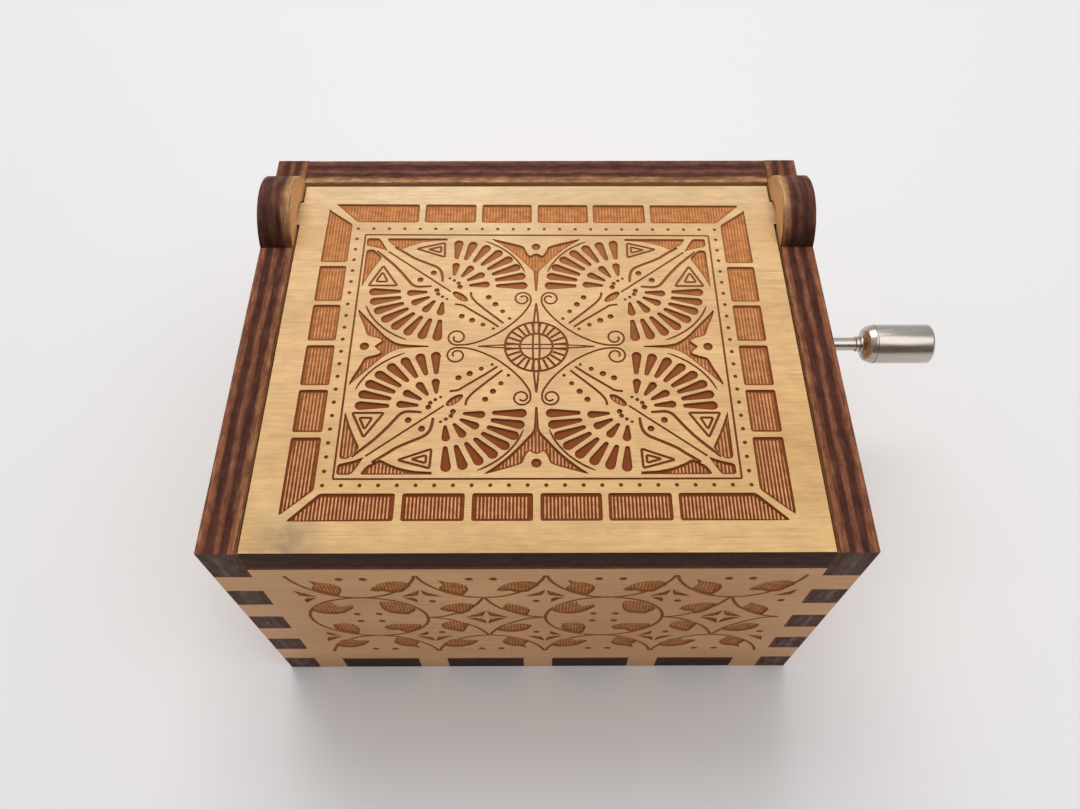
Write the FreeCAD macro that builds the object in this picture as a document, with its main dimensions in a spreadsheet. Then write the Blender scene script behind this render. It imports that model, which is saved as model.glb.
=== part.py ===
"""Hand-cranked tune box: a finger-jointed plywood case with a hinged lid, and in it a worm-driven
pinned cylinder that plucks a steel comb.

Millimetres.  X runs along the case towards the crank, Y to the back, Z up.  The origin is the
centre of the case's underside.
"""
import FreeCAD, Part
import math
import os
import re

import Sketcher

SIZES = {
    # Case, cut from one plywood sheet.
    "box_length": 64.0,
    "box_width": 52.0,
    "box_height": 38.2,
    "ply": 3.8,
    "finger_height": 4.05,
    "tab_width": 9.5,
    "tab_pitch": 13.25,
    # Lid, and the ears that carry its two square tabs.
    "lid_side_gap": 0.2,
    "lid_back_gap": 0.6,
    "lid_seat_gap": 0.05,
    "hinge_setback": 8.9,
    "hinge_tab": 3.7,
    "hinge_clearance": 0.07,
    "ear_radius": 5.7,
    # Cast bedplate with its comb seat and rear post.
    "plate_thickness": 2.2,
    "plate_corner": 3.0,
    "plate_back_gap": 1.2,
    "plate_left_margin": 4.4,
    "plate_right_margin": 0.8,
    "plate_front_margin": 2.0,
    "post_margin": 0.9,
    "post_width": 9.0,
    "post_thickness": 2.5,
    "post_gap": 0.6,
    "hub_clearance": 0.2,
    # Pinned cylinder.
    "cylinder_x": 9.0,
    "pin_deck_gap": 0.3,
    "barrel_radius": 6.5,
    "barrel_wall": 0.7,
    "barrel_margin": 0.35,
    "pin_height": 0.8,
    "pin_side": 0.4,
    "cap_thickness": 1.2,
    "cap_hub_radius": 2.2,
    "arbor_radius": 1.0,
    "running_clearance": 0.05,
    # Comb and the lead under its low notes.
    "tooth_count": 18,
    "tooth_pitch": 0.95,
    "tooth_slot": 0.17,
    "tip_clearance": 0.08,
    "bass_tooth": 13.2,
    "treble_tooth": 10.0,
    "comb_back": 8.0,
    "comb_thickness": 0.9,
    "comb_margin": 0.6,
    "weight_count": 8,
    "weight_length": 3.4,
    "weight_setback": 1.6,
    "weight_depth": 1.8,
    "weight_step": 0.14,
    # Worm and wheel.
    "gear_module": 0.65,
    "addendum": 0.6,
    "wheel_teeth": 16,
    "wheel_thickness": 3.0,
    "wheel_hub_radius": 2.6,
    "wheel_hub_length": 1.2,
    "worm_pitch_radius": 2.0,
    "worm_turns": 3,
    "pressure_angle": 20.0,
    "backlash": 0.16,
    "tooth_root_gap": 0.15,
    "worm_gap": 0.2,
    # Worm shaft.
    "journal_radius": 0.95,
    "socket_radius": 1.7,
    "socket_length": 6.0,
    "shaft_end": 0.5,
    # Sheet-metal bearing brackets.
    "bracket_thickness": 1.5,
    "bracket_width": 5.4,
    "bracket_foot": 5.0,
    "bracket_gap": 0.4,
    # Crank.
    "wire_radius": 0.85,
    "wire_bend": 2.2,
    "wire_hole_gap": 0.8,
    "arm_standoff": 4.5,
    "arm_throw": 14.0,
    "knob_standoff": 5.9,
    "knob_radius": 2.55,
    "knob_length": 9.1,
    "knob_shoulder": 1.6,
    "knob_shoulder_drop": 1.0,
    "knob_rim": 0.4,
    "knob_recess_radius": 1.7,
    "knob_recess_depth": 0.9,
    "rivet_radius": 1.4,
    "rivet_thickness": 0.5,
    "swage_radius": 1.15,
    "end_play": 0.1,
    # Screws.
    "wood_screw_head": 2.2,
    "wood_screw_shank": 1.1,
    "wood_screw_cone": 1.3,
    "wood_screw_sink": 0.2,
    "wood_screw_gap": 0.1,
    "wood_screw_bite": 2.0,
    "wood_screw_inset": 3.6,
    "comb_screw_head": 1.9,
    "comb_screw_rise": 1.2,
    "comb_screw_shank": 1.2,
    "comb_screw_spread": 11.0,
    "comb_screw_gap": 0.1,
    "comb_screw_bite": 4.0,
    "bracket_screw_head": 1.3,
    "bracket_screw_rise": 0.8,
    "bracket_screw_shank": 0.8,
    "bracket_screw_bite": 3.0,
}

doc = FreeCAD.newDocument("tune_box")
sheet = doc.addObject("Spreadsheet::Sheet", "sizes")
for row, (name, size) in enumerate(SIZES.items(), start=1):
    sheet.set(f"A{row}", name)
    sheet.set(f"B{row}", str(size))
    sheet.setAlias(f"B{row}", name)
doc.recompute()


def bound(formula):
    """A formula of size names, written as the sheet's cells for an expression."""
    return re.sub(r"[a-z]\w+", lambda word: f"sizes.{word[0]}" if word[0] in SIZES else word[0], formula)


def value(formula):
    """The number that a formula of size names gives."""
    return float(sheet.evalExpression(bound(str(formula))))


# Levels and places that several pieces share, as formulas of the sizes.  The movement is placed
# from the back wall forwards: rear post, pinned cylinder, worm shaft, arbor bracket.
inner_x = "(box_length / 2 - ply)"
inner_y = "(box_width / 2 - ply)"
hinge_y = "(box_width / 2 - hinge_setback)"
hinge_z = "(box_height - ply / 2)"
hinge_hole = "(sqrt(hinge_tab * hinge_tab + ply * ply) / 2 + hinge_clearance)"
front_top = "(box_height - ply - lid_seat_gap)"
deck_z = "(ply + plate_thickness)"
pin_reach = "(barrel_radius + pin_height)"
cylinder_rise = f"({pin_reach} + pin_deck_gap)"
cylinder_z = f"({deck_z} + {cylinder_rise})"
wheel_radius = "(wheel_teeth * gear_module / 2)"
shaft_z = f"({cylinder_z} + {wheel_radius} + worm_pitch_radius)"
worm_lead = "(pi * gear_module)"
worm_outer = "(worm_pitch_radius + addendum)"
worm_root = "(worm_pitch_radius - addendum - tooth_root_gap)"
plate_back = f"({inner_y} - plate_back_gap)"
post_front = f"({plate_back} - post_margin - post_thickness)"
barrel_back = f"({post_front} - post_gap)"
comb_width = "(tooth_count * tooth_pitch)"
comb_front = f"({barrel_back} - barrel_margin - {comb_width})"
barrel_front = f"({comb_front} - barrel_margin)"
shaft_y = f"({barrel_front} - worm_gap - {worm_outer})"
wheel_front = f"({shaft_y} - wheel_thickness / 2)"
wheel_back = f"({shaft_y} + wheel_thickness / 2)"
arbor_bearing_y = f"({wheel_front} - hub_clearance - wheel_hub_length)"
tip_x = f"(cylinder_x - {pin_reach} - tip_clearance)"
comb_back_x = f"({tip_x} - bass_tooth - comb_back)"
comb_z = f"({cylinder_z} - comb_thickness / 2)"
bracket_x = f"({pin_reach} + bracket_gap)"
bracket_reach = "(bracket_thickness + bracket_foot)"
plate_left = f"({comb_back_x} - plate_left_margin)"
plate_right = f"(cylinder_x + {bracket_x} + {bracket_reach} + plate_right_margin)"
plate_front = f"({arbor_bearing_y} - {bracket_reach} - plate_front_margin)"
arm_x = "(box_length / 2 + arm_standoff)"
knob_x = f"({arm_x} + knob_standoff)"
knob_y = f"({shaft_y} + arm_throw)"
socket_x = f"(cylinder_x + {bracket_x} + bracket_thickness + hub_clearance)"
subparts = []


def keep(piece, label):
    """Name a finished sub-part, which gives its file the same name."""
    piece.Label = label
    subparts.append(piece)
    return piece


def place(piece, x="0", y="0", z="0", rotation=None):
    """Bind the piece's position to the sheet, after any fixed rotation."""
    if rotation:
        piece.Placement = FreeCAD.Placement(FreeCAD.Vector(), rotation)
    for axis, formula in zip("xyz", (x, y, z)):
        piece.setExpression(f".Placement.Base.{axis}", bound(formula))
    return piece


def body(name):
    return doc.addObject("PartDesign::Body", name)


def sketch(owner, plane, lift="0"):
    """A sketch on one of the body's origin planes, lifted along that plane's normal."""
    drawn = owner.newObject("Sketcher::SketchObject", "outline")
    support = next(item for item in owner.Origin.OriginFeatures if item.Role == plane)
    drawn.AttachmentSupport = [(support, "")]
    drawn.MapMode = "FlatFace"
    drawn.setExpression(".AttachmentOffset.Base.z", bound(lift))
    return drawn


def pin_point(drawn, edge, end, x, y):
    """Dimension one point of an edge from the sketch's origin."""
    for kind, formula in (("DistanceX", x), ("DistanceY", y)):
        index = drawn.addConstraint(Sketcher.Constraint(kind, -1, 1, edge, end, value(formula)))
        drawn.setExpression(f"Constraints[{index}]", bound(formula))


def polygon(drawn, corners):
    """A closed outline through corners given as pairs of formulas."""
    places = [FreeCAD.Vector(value(x), value(y), 0) for x, y in corners]
    first = drawn.GeometryCount
    count = len(places)
    drawn.addGeometry([Part.LineSegment(*pair) for pair in zip(places, places[1:] + places[:1])], False)
    drawn.addConstraint([
        Sketcher.Constraint("Coincident", first + i, 2, first + (i + 1) % count, 1) for i in range(count)])
    for index, (x, y) in enumerate(corners):
        pin_point(drawn, first + index, 1, x, y)


def rectangle(drawn, x0, y0, x1, y1):
    polygon(drawn, [(x0, y0), (x1, y0), (x1, y1), (x0, y1)])


def circle(drawn, x, y, radius):
    centre = FreeCAD.Vector(value(x), value(y), 0)
    edge = drawn.addGeometry(Part.Circle(centre, FreeCAD.Vector(0, 0, 1), value(radius)), False)
    pin_point(drawn, edge, 3, x, y)
    index = drawn.addConstraint(Sketcher.Constraint("Radius", edge, value(radius)))
    drawn.setExpression(f"Constraints[{index}]", bound(radius))


def extrude(drawn, length, kind="Pad", flip=False):
    """Pad or pocket a sketch.  A pocket is cut along the plane's normal, as a pad grows."""
    feature = drawn.getParentGeoFeatureGroup().newObject(f"PartDesign::{kind}", kind.lower())
    feature.Profile = drawn
    feature.setExpression("Length", bound(length))
    feature.Reversed = flip != (kind == "Pocket")
    drawn.Visibility = False
    return feature


def turn(drawn, axis, kind="Revolution"):
    """Turn a sketch once about one of its own axes."""
    feature = drawn.getParentGeoFeatureGroup().newObject(f"PartDesign::{kind}", kind.lower())
    feature.Profile = drawn
    feature.ReferenceAxis = (drawn, [axis])
    feature.Angle = 360
    return feature


def primitive(kind, x="0", y="0", z="0", rotation=None, **formulas):
    """A Part primitive whose sizes and place are formulas."""
    made = doc.addObject(f"Part::{kind}", kind.lower())
    place(made, x, y, z, rotation)
    for size, formula in formulas.items():
        made.setExpression(size, bound(formula))
    return made


def fuse(*pieces):
    made = doc.addObject("Part::MultiFuse", "fused")
    made.Shapes = list(pieces)
    return made


def cut(base, tool):
    made = doc.addObject("Part::Cut", "cut")
    made.Base = base
    made.Tool = tool
    return made


def group(pieces):
    made = doc.addObject("Part::Compound", "group")
    made.Links = list(pieces)
    return made


# ---------------------------------------------------------------------------- case panels

def tab_edges(half_length):
    """Both edges of each bottom tab along a wall, from the lowest coordinate to the highest."""
    count = int(value(f"2 * {half_length} / tab_pitch"))
    middles = [f"{i - (count - 1) / 2} * tab_pitch" for i in range(count)]
    return [(f"({middle} - tab_width / 2)", f"({middle} + tab_width / 2)") for middle in middles]


def foot_line(left, right, half_length):
    """A wall's lower edge from left to right, notched where the bottom panel's tabs come through."""
    corners = [(left, "0")]
    for start, end in tab_edges(half_length):
        corners += [(start, "0"), (start, "ply"), (end, "ply"), (end, "0")]
    return corners + [(right, "0")]


def finger_levels():
    """The heights between which the front and back panels' fingers lie."""
    count = int(value(f"{front_top} / (2 * finger_height)"))
    return [(f"({2 * i + 1} * finger_height)", f"({2 * i + 2} * finger_height)") for i in range(count)]


def end_panel(name, top):
    """Front or back: its fingers reach the outer faces of the side panels."""
    wall = body(name)
    face = sketch(wall, "XZ_Plane")
    corners = foot_line(f"-{inner_x}", inner_x, inner_x)
    for low, high in finger_levels():
        corners += [(inner_x, low), ("box_length / 2", low), ("box_length / 2", high), (inner_x, high)]
    corners += [(inner_x, top), (f"-{inner_x}", top)]
    for low, high in reversed(finger_levels()):
        corners += [(f"-{inner_x}", high), ("-box_length / 2", high),
                    ("-box_length / 2", low), (f"-{inner_x}", low)]
    polygon(face, corners)
    extrude(face, "ply")
    return keep(wall, name)


def side_panel(name):
    """Side wall with the ear and the round hole in which the lid's tab turns."""
    wall = body(name)
    face = sketch(wall, "YZ_Plane")
    corners = foot_line("-box_width / 2", "box_width / 2", inner_y)
    for low, high in finger_levels():
        corners += [("box_width / 2", low), (inner_y, low), (inner_y, high), ("box_width / 2", high)]
    corners += [("box_width / 2", "box_height"), ("-box_width / 2", "box_height")]
    for low, high in reversed(finger_levels()):
        corners += [("-box_width / 2", high), (f"-{inner_y}", high),
                    (f"-{inner_y}", low), ("-box_width / 2", low)]
    polygon(face, corners)
    extrude(face, "ply")
    ear = sketch(wall, "YZ_Plane")
    circle(ear, hinge_y, hinge_z, "ear_radius")
    extrude(ear, "ply")
    hole = sketch(wall, "YZ_Plane")
    circle(hole, hinge_y, hinge_z, hinge_hole)
    extrude(hole, "ply", "Pocket")
    return keep(wall, name)


front_panel = end_panel("front_panel", front_top)
place(front_panel, y=f"-{inner_y}")
back_panel = end_panel("back_panel", "box_height")
place(back_panel, y="box_width / 2")
left_panel = side_panel("left_panel")
place(left_panel, x="-box_length / 2")
right_panel = side_panel("right_panel")
place(right_panel, x=inner_x)
crank_hole = sketch(right_panel, "YZ_Plane")
circle(crank_hole, shaft_y, shaft_z, "wire_radius + wire_hole_gap")
extrude(crank_hole, "ply", "Pocket")

# Two opposite corners of the bedplate, a set distance in from its edges.
WOOD_SCREWS = [
    (f"({plate_right} - wood_screw_inset)", f"({plate_front} + wood_screw_inset)"),
    (f"({plate_left} + wood_screw_inset)", f"({plate_back} - wood_screw_inset)"),
]

bottom = body("bottom_sheet")
face = sketch(bottom, "XY_Plane")
corners = [(f"-{inner_x}", f"-{inner_y}")]
for start, end in tab_edges(inner_x):
    corners += [(start, f"-{inner_y}"), (start, "-box_width / 2"),
                (end, "-box_width / 2"), (end, f"-{inner_y}")]
corners += [(inner_x, f"-{inner_y}")]
for start, end in tab_edges(inner_y):
    corners += [(inner_x, start), ("box_length / 2", start), ("box_length / 2", end), (inner_x, end)]
corners += [(inner_x, inner_y)]
for start, end in reversed(tab_edges(inner_x)):
    corners += [(end, inner_y), (end, "box_width / 2"), (start, "box_width / 2"), (start, inner_y)]
corners += [(f"-{inner_x}", inner_y)]
for start, end in reversed(tab_edges(inner_y)):
    corners += [(f"-{inner_x}", end), ("-box_length / 2", end),
                ("-box_length / 2", start), (f"-{inner_x}", start)]
polygon(face, corners)
extrude(face, "ply")
shank_holes = sketch(bottom, "XY_Plane")
for x, y in WOOD_SCREWS:
    circle(shank_holes, x, y, "wood_screw_shank + wood_screw_gap")
extrude(shank_holes, "ply", "Pocket")
countersinks = fuse(*[
    primitive("Cone", x, y, Radius1="wood_screw_head + wood_screw_sink + wood_screw_gap",
              Radius2="wood_screw_shank + wood_screw_gap", Height="wood_screw_cone + wood_screw_sink")
    for x, y in WOOD_SCREWS])
keep(cut(bottom, countersinks), "bottom_panel")

# The lid: one panel whose two square tabs turn in the ears.
lid = body("lid_panel")
face = sketch(lid, "XY_Plane")
lid_side = f"({inner_x} - lid_side_gap)"
lid_back = f"({inner_y} - lid_back_gap)"
tab_front = f"({hinge_y} - hinge_tab / 2)"
tab_back = f"({hinge_y} + hinge_tab / 2)"
polygon(face, [
    (f"-{lid_side}", "-box_width / 2"), (lid_side, "-box_width / 2"),
    (lid_side, tab_front), ("box_length / 2", tab_front), ("box_length / 2", tab_back), (lid_side, tab_back),
    (lid_side, lid_back), (f"-{lid_side}", lid_back),
    (f"-{lid_side}", tab_back), ("-box_length / 2", tab_back), ("-box_length / 2", tab_front),
    (f"-{lid_side}", tab_front)])
extrude(face, "ply")
keep(place(lid, z="box_height - ply"), "lid_panel")


# ---------------------------------------------------------------------------- bedplate

foot_middle = "(bracket_thickness + bracket_foot / 2)"
BRACKET_SCREWS = [
    (f"cylinder_x + {bracket_x} + {foot_middle}", shaft_y),
    (f"cylinder_x - {bracket_x} - {foot_middle}", shaft_y),
    ("cylinder_x", f"{arbor_bearing_y} - {foot_middle}"),
]
COMB_SCREWS = [-0.5, 0.5]
comb_middle_y = f"({comb_front} + {comb_width} / 2)"
comb_screw_x = f"({comb_back_x} + comb_back / 2)"


def comb_screw_spots():
    return [(comb_screw_x, f"{comb_middle_y} + {side} * comb_screw_spread") for side in COMB_SCREWS]


def vertical_edges(feature):
    """The names of a feature's upright edges."""
    return [f"Edge{i}" for i, edge in enumerate(feature.Shape.Edges, start=1)
            if abs(edge.tangentAt(edge.FirstParameter).z) > 0.999]


plate = body("bedplate")
face = sketch(plate, "XY_Plane")
rectangle(face, plate_left, plate_front, plate_right, plate_back)
slab = extrude(face, "plate_thickness")
doc.recompute()
rounded = plate.newObject("PartDesign::Fillet", "corners")
rounded.Base = (slab, vertical_edges(slab))
rounded.setExpression("Radius", bound("plate_corner"))
seat = sketch(plate, "XY_Plane", "plate_thickness")
rectangle(seat, comb_back_x, f"{comb_front} - comb_margin",
          f"{comb_back_x} + comb_back", f"{comb_front} + {comb_width} + comb_margin")
extrude(seat, f"{cylinder_rise} - comb_thickness / 2")
# The rear post grows backwards from its front face, so the sketch's normal (-Y) is flipped.
post = sketch(plate, "XZ_Plane", f"-{post_front}")
rectangle(post, "cylinder_x - post_width / 2", "plate_thickness", "cylinder_x + post_width / 2",
          f"plate_thickness + {cylinder_rise}")
extrude(post, "post_thickness", flip=True)
crown = sketch(plate, "XZ_Plane", f"-{post_front}")
circle(crown, "cylinder_x", f"plate_thickness + {cylinder_rise}", "post_width / 2")
extrude(crown, "post_thickness", flip=True)
arbor_hole = sketch(plate, "XZ_Plane", f"-{post_front}")
circle(arbor_hole, "cylinder_x", f"plate_thickness + {cylinder_rise}", "arbor_radius + running_clearance")
extrude(arbor_hole, "post_thickness", "Pocket", flip=True)
thread_holes = sketch(plate, "XY_Plane")
for x, y in WOOD_SCREWS:
    circle(thread_holes, x, y, "wood_screw_shank")
extrude(thread_holes, "plate_thickness", "Pocket")
foot_holes = sketch(plate, "XY_Plane", "plate_thickness")
for x, y in BRACKET_SCREWS:
    circle(foot_holes, x, y, "bracket_screw_shank")
extrude(foot_holes, "bracket_screw_bite - bracket_thickness", "Pocket", flip=True)
seat_holes = sketch(plate, "XY_Plane", f"plate_thickness + {cylinder_rise} - comb_thickness / 2")
for x, y in comb_screw_spots():
    circle(seat_holes, x, y, "comb_screw_shank")
extrude(seat_holes, "comb_screw_bite", "Pocket", flip=True)
keep(place(plate, z="ply"), "bedplate")


# ---------------------------------------------------------------------------- bearing brackets

def bracket(name, rise, hole):
    """An L of sheet metal: upright at the local X = 0, foot towards +X, bearing hole at the given rise."""
    made = body(name)
    foot = sketch(made, "XY_Plane")
    rectangle(foot, "0", "-bracket_width / 2", "bracket_thickness + bracket_foot", "bracket_width / 2")
    extrude(foot, "bracket_thickness")
    upright = sketch(made, "YZ_Plane")
    rectangle(upright, "-bracket_width / 2", "0", "bracket_width / 2", rise)
    extrude(upright, "bracket_thickness")
    crown = sketch(made, "YZ_Plane")
    circle(crown, "0", rise, "bracket_width / 2")
    extrude(crown, "bracket_thickness")
    bearing = sketch(made, "YZ_Plane")
    circle(bearing, "0", rise, f"{hole} + running_clearance")
    extrude(bearing, "bracket_thickness", "Pocket")
    screw_hole = sketch(made, "XY_Plane")
    circle(screw_hole, foot_middle, "0", "bracket_screw_shank")
    extrude(screw_hole, "bracket_thickness", "Pocket")
    return keep(made, name)


QUARTER_TURN = FreeCAD.Rotation(FreeCAD.Vector(0, 0, 1), -90)
HALF_TURN = FreeCAD.Rotation(FreeCAD.Vector(0, 0, 1), 180)
shaft_rise = f"{shaft_z} - {deck_z}"
right_bracket = bracket("right_worm_bracket", shaft_rise, "journal_radius")
place(right_bracket, f"cylinder_x + {bracket_x}", shaft_y, deck_z)
left_bracket = bracket("left_worm_bracket", shaft_rise, "journal_radius")
place(left_bracket, f"cylinder_x - {bracket_x}", shaft_y, deck_z, HALF_TURN)
arbor_bracket = bracket("arbor_bracket", cylinder_rise, "arbor_radius")
place(arbor_bracket, "cylinder_x", arbor_bearing_y, deck_z, QUARTER_TURN)


# ---------------------------------------------------------------------------- comb

comb = body("comb")
face = sketch(comb, "XY_Plane")
corners = [(comb_back_x, f"{comb_front} - comb_margin"),
           (f"{tip_x} - bass_tooth", f"{comb_front} - comb_margin")]
teeth = int(SIZES["tooth_count"])
for tooth in range(teeth):
    front = f"({comb_front} + {tooth} * tooth_pitch + tooth_slot / 2)"
    back = f"({comb_front} + {tooth + 1} * tooth_pitch - tooth_slot / 2)"
    root = f"({tip_x} - bass_tooth + {tooth} * (bass_tooth - treble_tooth) / (tooth_count - 1))"
    corners += [(root, front), (tip_x, front), (tip_x, back), (root, back)]
corners += [(f"{tip_x} - treble_tooth", f"{comb_front} + {comb_width} + comb_margin"),
            (comb_back_x, f"{comb_front} + {comb_width} + comb_margin")]
polygon(face, corners)
extrude(face, "comb_thickness")
holes = sketch(comb, "XY_Plane")
for x, y in comb_screw_spots():
    circle(holes, x, y, "comb_screw_shank + comb_screw_gap")
extrude(holes, "comb_thickness", "Pocket")
keep(place(comb, z=comb_z), "comb")

weights = []
for tooth in range(int(SIZES["weight_count"])):
    depth = f"(weight_depth - {tooth} * weight_step)"
    weights.append(primitive(
        "Box", f"{tip_x} - weight_setback - weight_length",
        f"{comb_front} + {tooth} * tooth_pitch + tooth_slot", f"{comb_z} - {depth}",
        Length="weight_length", Width="tooth_pitch - 2 * tooth_slot", Height=depth))
keep(group(weights), "comb_weights")


# ---------------------------------------------------------------------------- pinned cylinder

ALONG_Y = FreeCAD.Rotation(FreeCAD.Vector(1, 0, 0), -90)
ALONG_X = FreeCAD.Rotation(FreeCAD.Vector(0, 1, 0), 90)
TUNE_STEPS = 48


def tune():
    """Pairs of step round the cylinder and track along it: a rolling scale with a low note each eighth."""
    for step in range(TUNE_STEPS):
        yield step, (5 * step + 3 * (step // 8)) % teeth
        if step % 8 == 0:
            yield step, (step // 4 + 1) % (teeth // 2)


def pinned_barrel():
    """A tube along the local Z from 0, with square pins that stand out of its wall."""
    radius = value("barrel_radius")
    length = value(f"{barrel_back} - {barrel_front}")
    tube = Part.makeCylinder(radius, length).cut(Part.makeCylinder(radius - value("barrel_wall"), length))
    root = radius - value("barrel_wall") / 2
    side = value("pin_side")
    pin = Part.makeBox(value(pin_reach) - root, side, side, FreeCAD.Vector(root, -side / 2, -side / 2))
    pins = []
    for step, track in sorted(set(tune())):
        stood = pin.copy()
        stood.translate(FreeCAD.Vector(0, 0, value(f"barrel_margin + ({track} + 0.5) * tooth_pitch")))
        stood.rotate(FreeCAD.Vector(), FreeCAD.Vector(0, 0, 1), 360 / TUNE_STEPS * (step + 0.5))
        pins.append(stood)
    return tube.fuse(pins)


barrel = doc.addObject("Part::Feature", "barrel")
barrel.Shape = pinned_barrel()
place(barrel, "cylinder_x", barrel_front, cylinder_z, ALONG_Y)
keep(barrel, "pinned_cylinder")


def end_cap(name, hub_length):
    """A disc that closes one end of the tube, with a hub on its outer side."""
    cap = body(name)
    profile = sketch(cap, "XZ_Plane")
    polygon(profile, [
        ("arbor_radius", "0"), ("barrel_radius - barrel_wall", "0"),
        ("barrel_radius - barrel_wall", "cap_thickness"), ("cap_hub_radius", "cap_thickness"),
        ("cap_hub_radius", f"cap_thickness + {hub_length}"),
        ("arbor_radius", f"cap_thickness + {hub_length}")])
    turn(profile, "V_Axis")
    return keep(cap, name)


AGAINST_Y = FreeCAD.Rotation(FreeCAD.Vector(1, 0, 0), 90)
front_cap = end_cap("front_end_cap", f"({barrel_front} - {wheel_back})")
place(front_cap, "cylinder_x", f"{barrel_front} + cap_thickness", cylinder_z, AGAINST_Y)
rear_cap = end_cap("rear_end_cap", "(post_gap - hub_clearance)")
place(rear_cap, "cylinder_x", f"{barrel_back} - cap_thickness", cylinder_z, ALONG_Y)

arbor_front = f"({arbor_bearing_y} - bracket_thickness - shaft_end)"
arbor_back = f"({post_front} + post_thickness + shaft_end)"
arbor = primitive("Cylinder", "cylinder_x", arbor_front, cylinder_z, ALONG_Y,
                  Radius="arbor_radius", Height=f"{arbor_back} - {arbor_front}")
keep(arbor, "cylinder_arbor")


# ---------------------------------------------------------------------------- worm and wheel

def involute(angle):
    return math.tan(angle) - angle


def tooth_half_angle(radius, base):
    """Half the angle that one wheel tooth spans at a radius on or outside the base circle."""
    pitch = value(wheel_radius)
    flank = math.radians(value("pressure_angle"))
    spare = value("backlash") / (2 * pitch)
    here = math.acos(min(1.0, base / radius))
    return math.pi / (2 * value("wheel_teeth")) - spare + involute(flank) - involute(here)


def wheel_outline(height, twist):
    """The toothed outline at a height, with a gap's middle at the twist angle."""
    pitch = value(wheel_radius)
    base = pitch * math.cos(math.radians(value("pressure_angle")))
    root = pitch - value("addendum") - value("tooth_root_gap")
    tip = pitch + value("addendum")
    flank = [(root, tooth_half_angle(base, base))]
    flank += [(radius, tooth_half_angle(radius, base)) for radius in (base, pitch, tip)]
    count = int(value("wheel_teeth"))
    points = []
    for tooth in range(count):
        middle = twist + 2 * math.pi * (tooth + 0.5) / count
        points += [(radius, middle - half) for radius, half in flank]
        points += [(radius, middle + half) for radius, half in reversed(flank)]
    ring = [FreeCAD.Vector(radius * math.cos(at), radius * math.sin(at), height) for radius, at in points]
    return Part.makePolygon(ring + ring[:1])


def worm_wheel():
    """Helical wheel about the local Z, mid-plane at 0, with a hub towards the front bracket."""
    half = value("wheel_thickness") / 2
    twist = value(worm_lead) / (2 * math.pi * value("worm_pitch_radius")) / value(wheel_radius) * half
    rim = Part.makeLoft([wheel_outline(-half, -twist), wheel_outline(half, twist)], True, True)
    hub_length = value("wheel_hub_length")
    hub = Part.makeCylinder(value("wheel_hub_radius"), hub_length, FreeCAD.Vector(0, 0, -half - hub_length))
    bore = Part.makeCylinder(value("arbor_radius"), 2 * half + hub_length,
                             FreeCAD.Vector(0, 0, -half - hub_length))
    return rim.fuse(hub).cut(bore)


wheel = doc.addObject("Part::Feature", "wheel")
wheel.Shape = worm_wheel()
place(wheel, "cylinder_x", shaft_y, cylinder_z, ALONG_Y)
keep(wheel, "worm_wheel")

THREAD_STEPS = 12


def worm_thread():
    """A right-hand thread about the local Z: its axial section carried round in steps of flat facets."""
    lead = value(worm_lead)
    flank = math.tan(math.radians(value("pressure_angle")))
    half = lead / 4 - value("backlash") / 2
    pitch = value("worm_pitch_radius")
    foot = value(worm_root) - value("tooth_root_gap")
    tip = value(worm_outer)
    turns = int(value("worm_turns"))
    section = [(foot, half + flank * (pitch - foot)), (tip, half - flank * (tip - pitch))]
    rings = []
    for step in range(turns * THREAD_STEPS + 1):
        passed = step / THREAD_STEPS - turns / 2
        at, rise = 2 * math.pi * passed, lead * passed
        loop = [(radius, rise - width) for radius, width in section]
        loop += [(radius, rise + width) for radius, width in reversed(section)]
        rings.append([FreeCAD.Vector(radius * math.cos(at), radius * math.sin(at), z) for radius, z in loop])
    facets = [rings[0], rings[-1]]
    for near, far in zip(rings, rings[1:]):
        for i, j in ((0, 1), (1, 2), (2, 3), (3, 0)):
            facets += [[near[i], near[j], far[j]], [near[i], far[j], far[i]]]
    faces = [Part.Face(Part.makePolygon(corners + corners[:1])) for corners in facets]
    return Part.makeSolid(Part.makeShell(faces))


def worm_shaft():
    """The worm with its journals and a socket for the wire.  Its core is held between the brackets."""
    shoulder = value(f"{bracket_x} - hub_clearance")
    left_end = value(f"{bracket_x} + bracket_thickness + shaft_end")
    socket = value(f"{socket_x} - cylinder_x")
    core = Part.makeCylinder(value(worm_root), 2 * shoulder, FreeCAD.Vector(0, 0, -shoulder))
    journal = Part.makeCylinder(value("journal_radius"), left_end + socket, FreeCAD.Vector(0, 0, -left_end))
    cup = Part.makeCylinder(value("socket_radius"), value("socket_length"), FreeCAD.Vector(0, 0, socket))
    bore = Part.makeCylinder(value("wire_radius"), value("socket_length"), FreeCAD.Vector(0, 0, socket))
    return core.fuse([journal, cup, worm_thread()]).cut(bore)


shaft = doc.addObject("Part::Feature", "shaft")
shaft.Shape = worm_shaft()
place(shaft, "cylinder_x", shaft_y, shaft_z, ALONG_X)
keep(shaft, "worm_shaft")


# ---------------------------------------------------------------------------- crank

knob_end = f"({knob_x} + knob_length)"
rivet_x = f"({knob_end} - end_play - rivet_thickness)"


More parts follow.
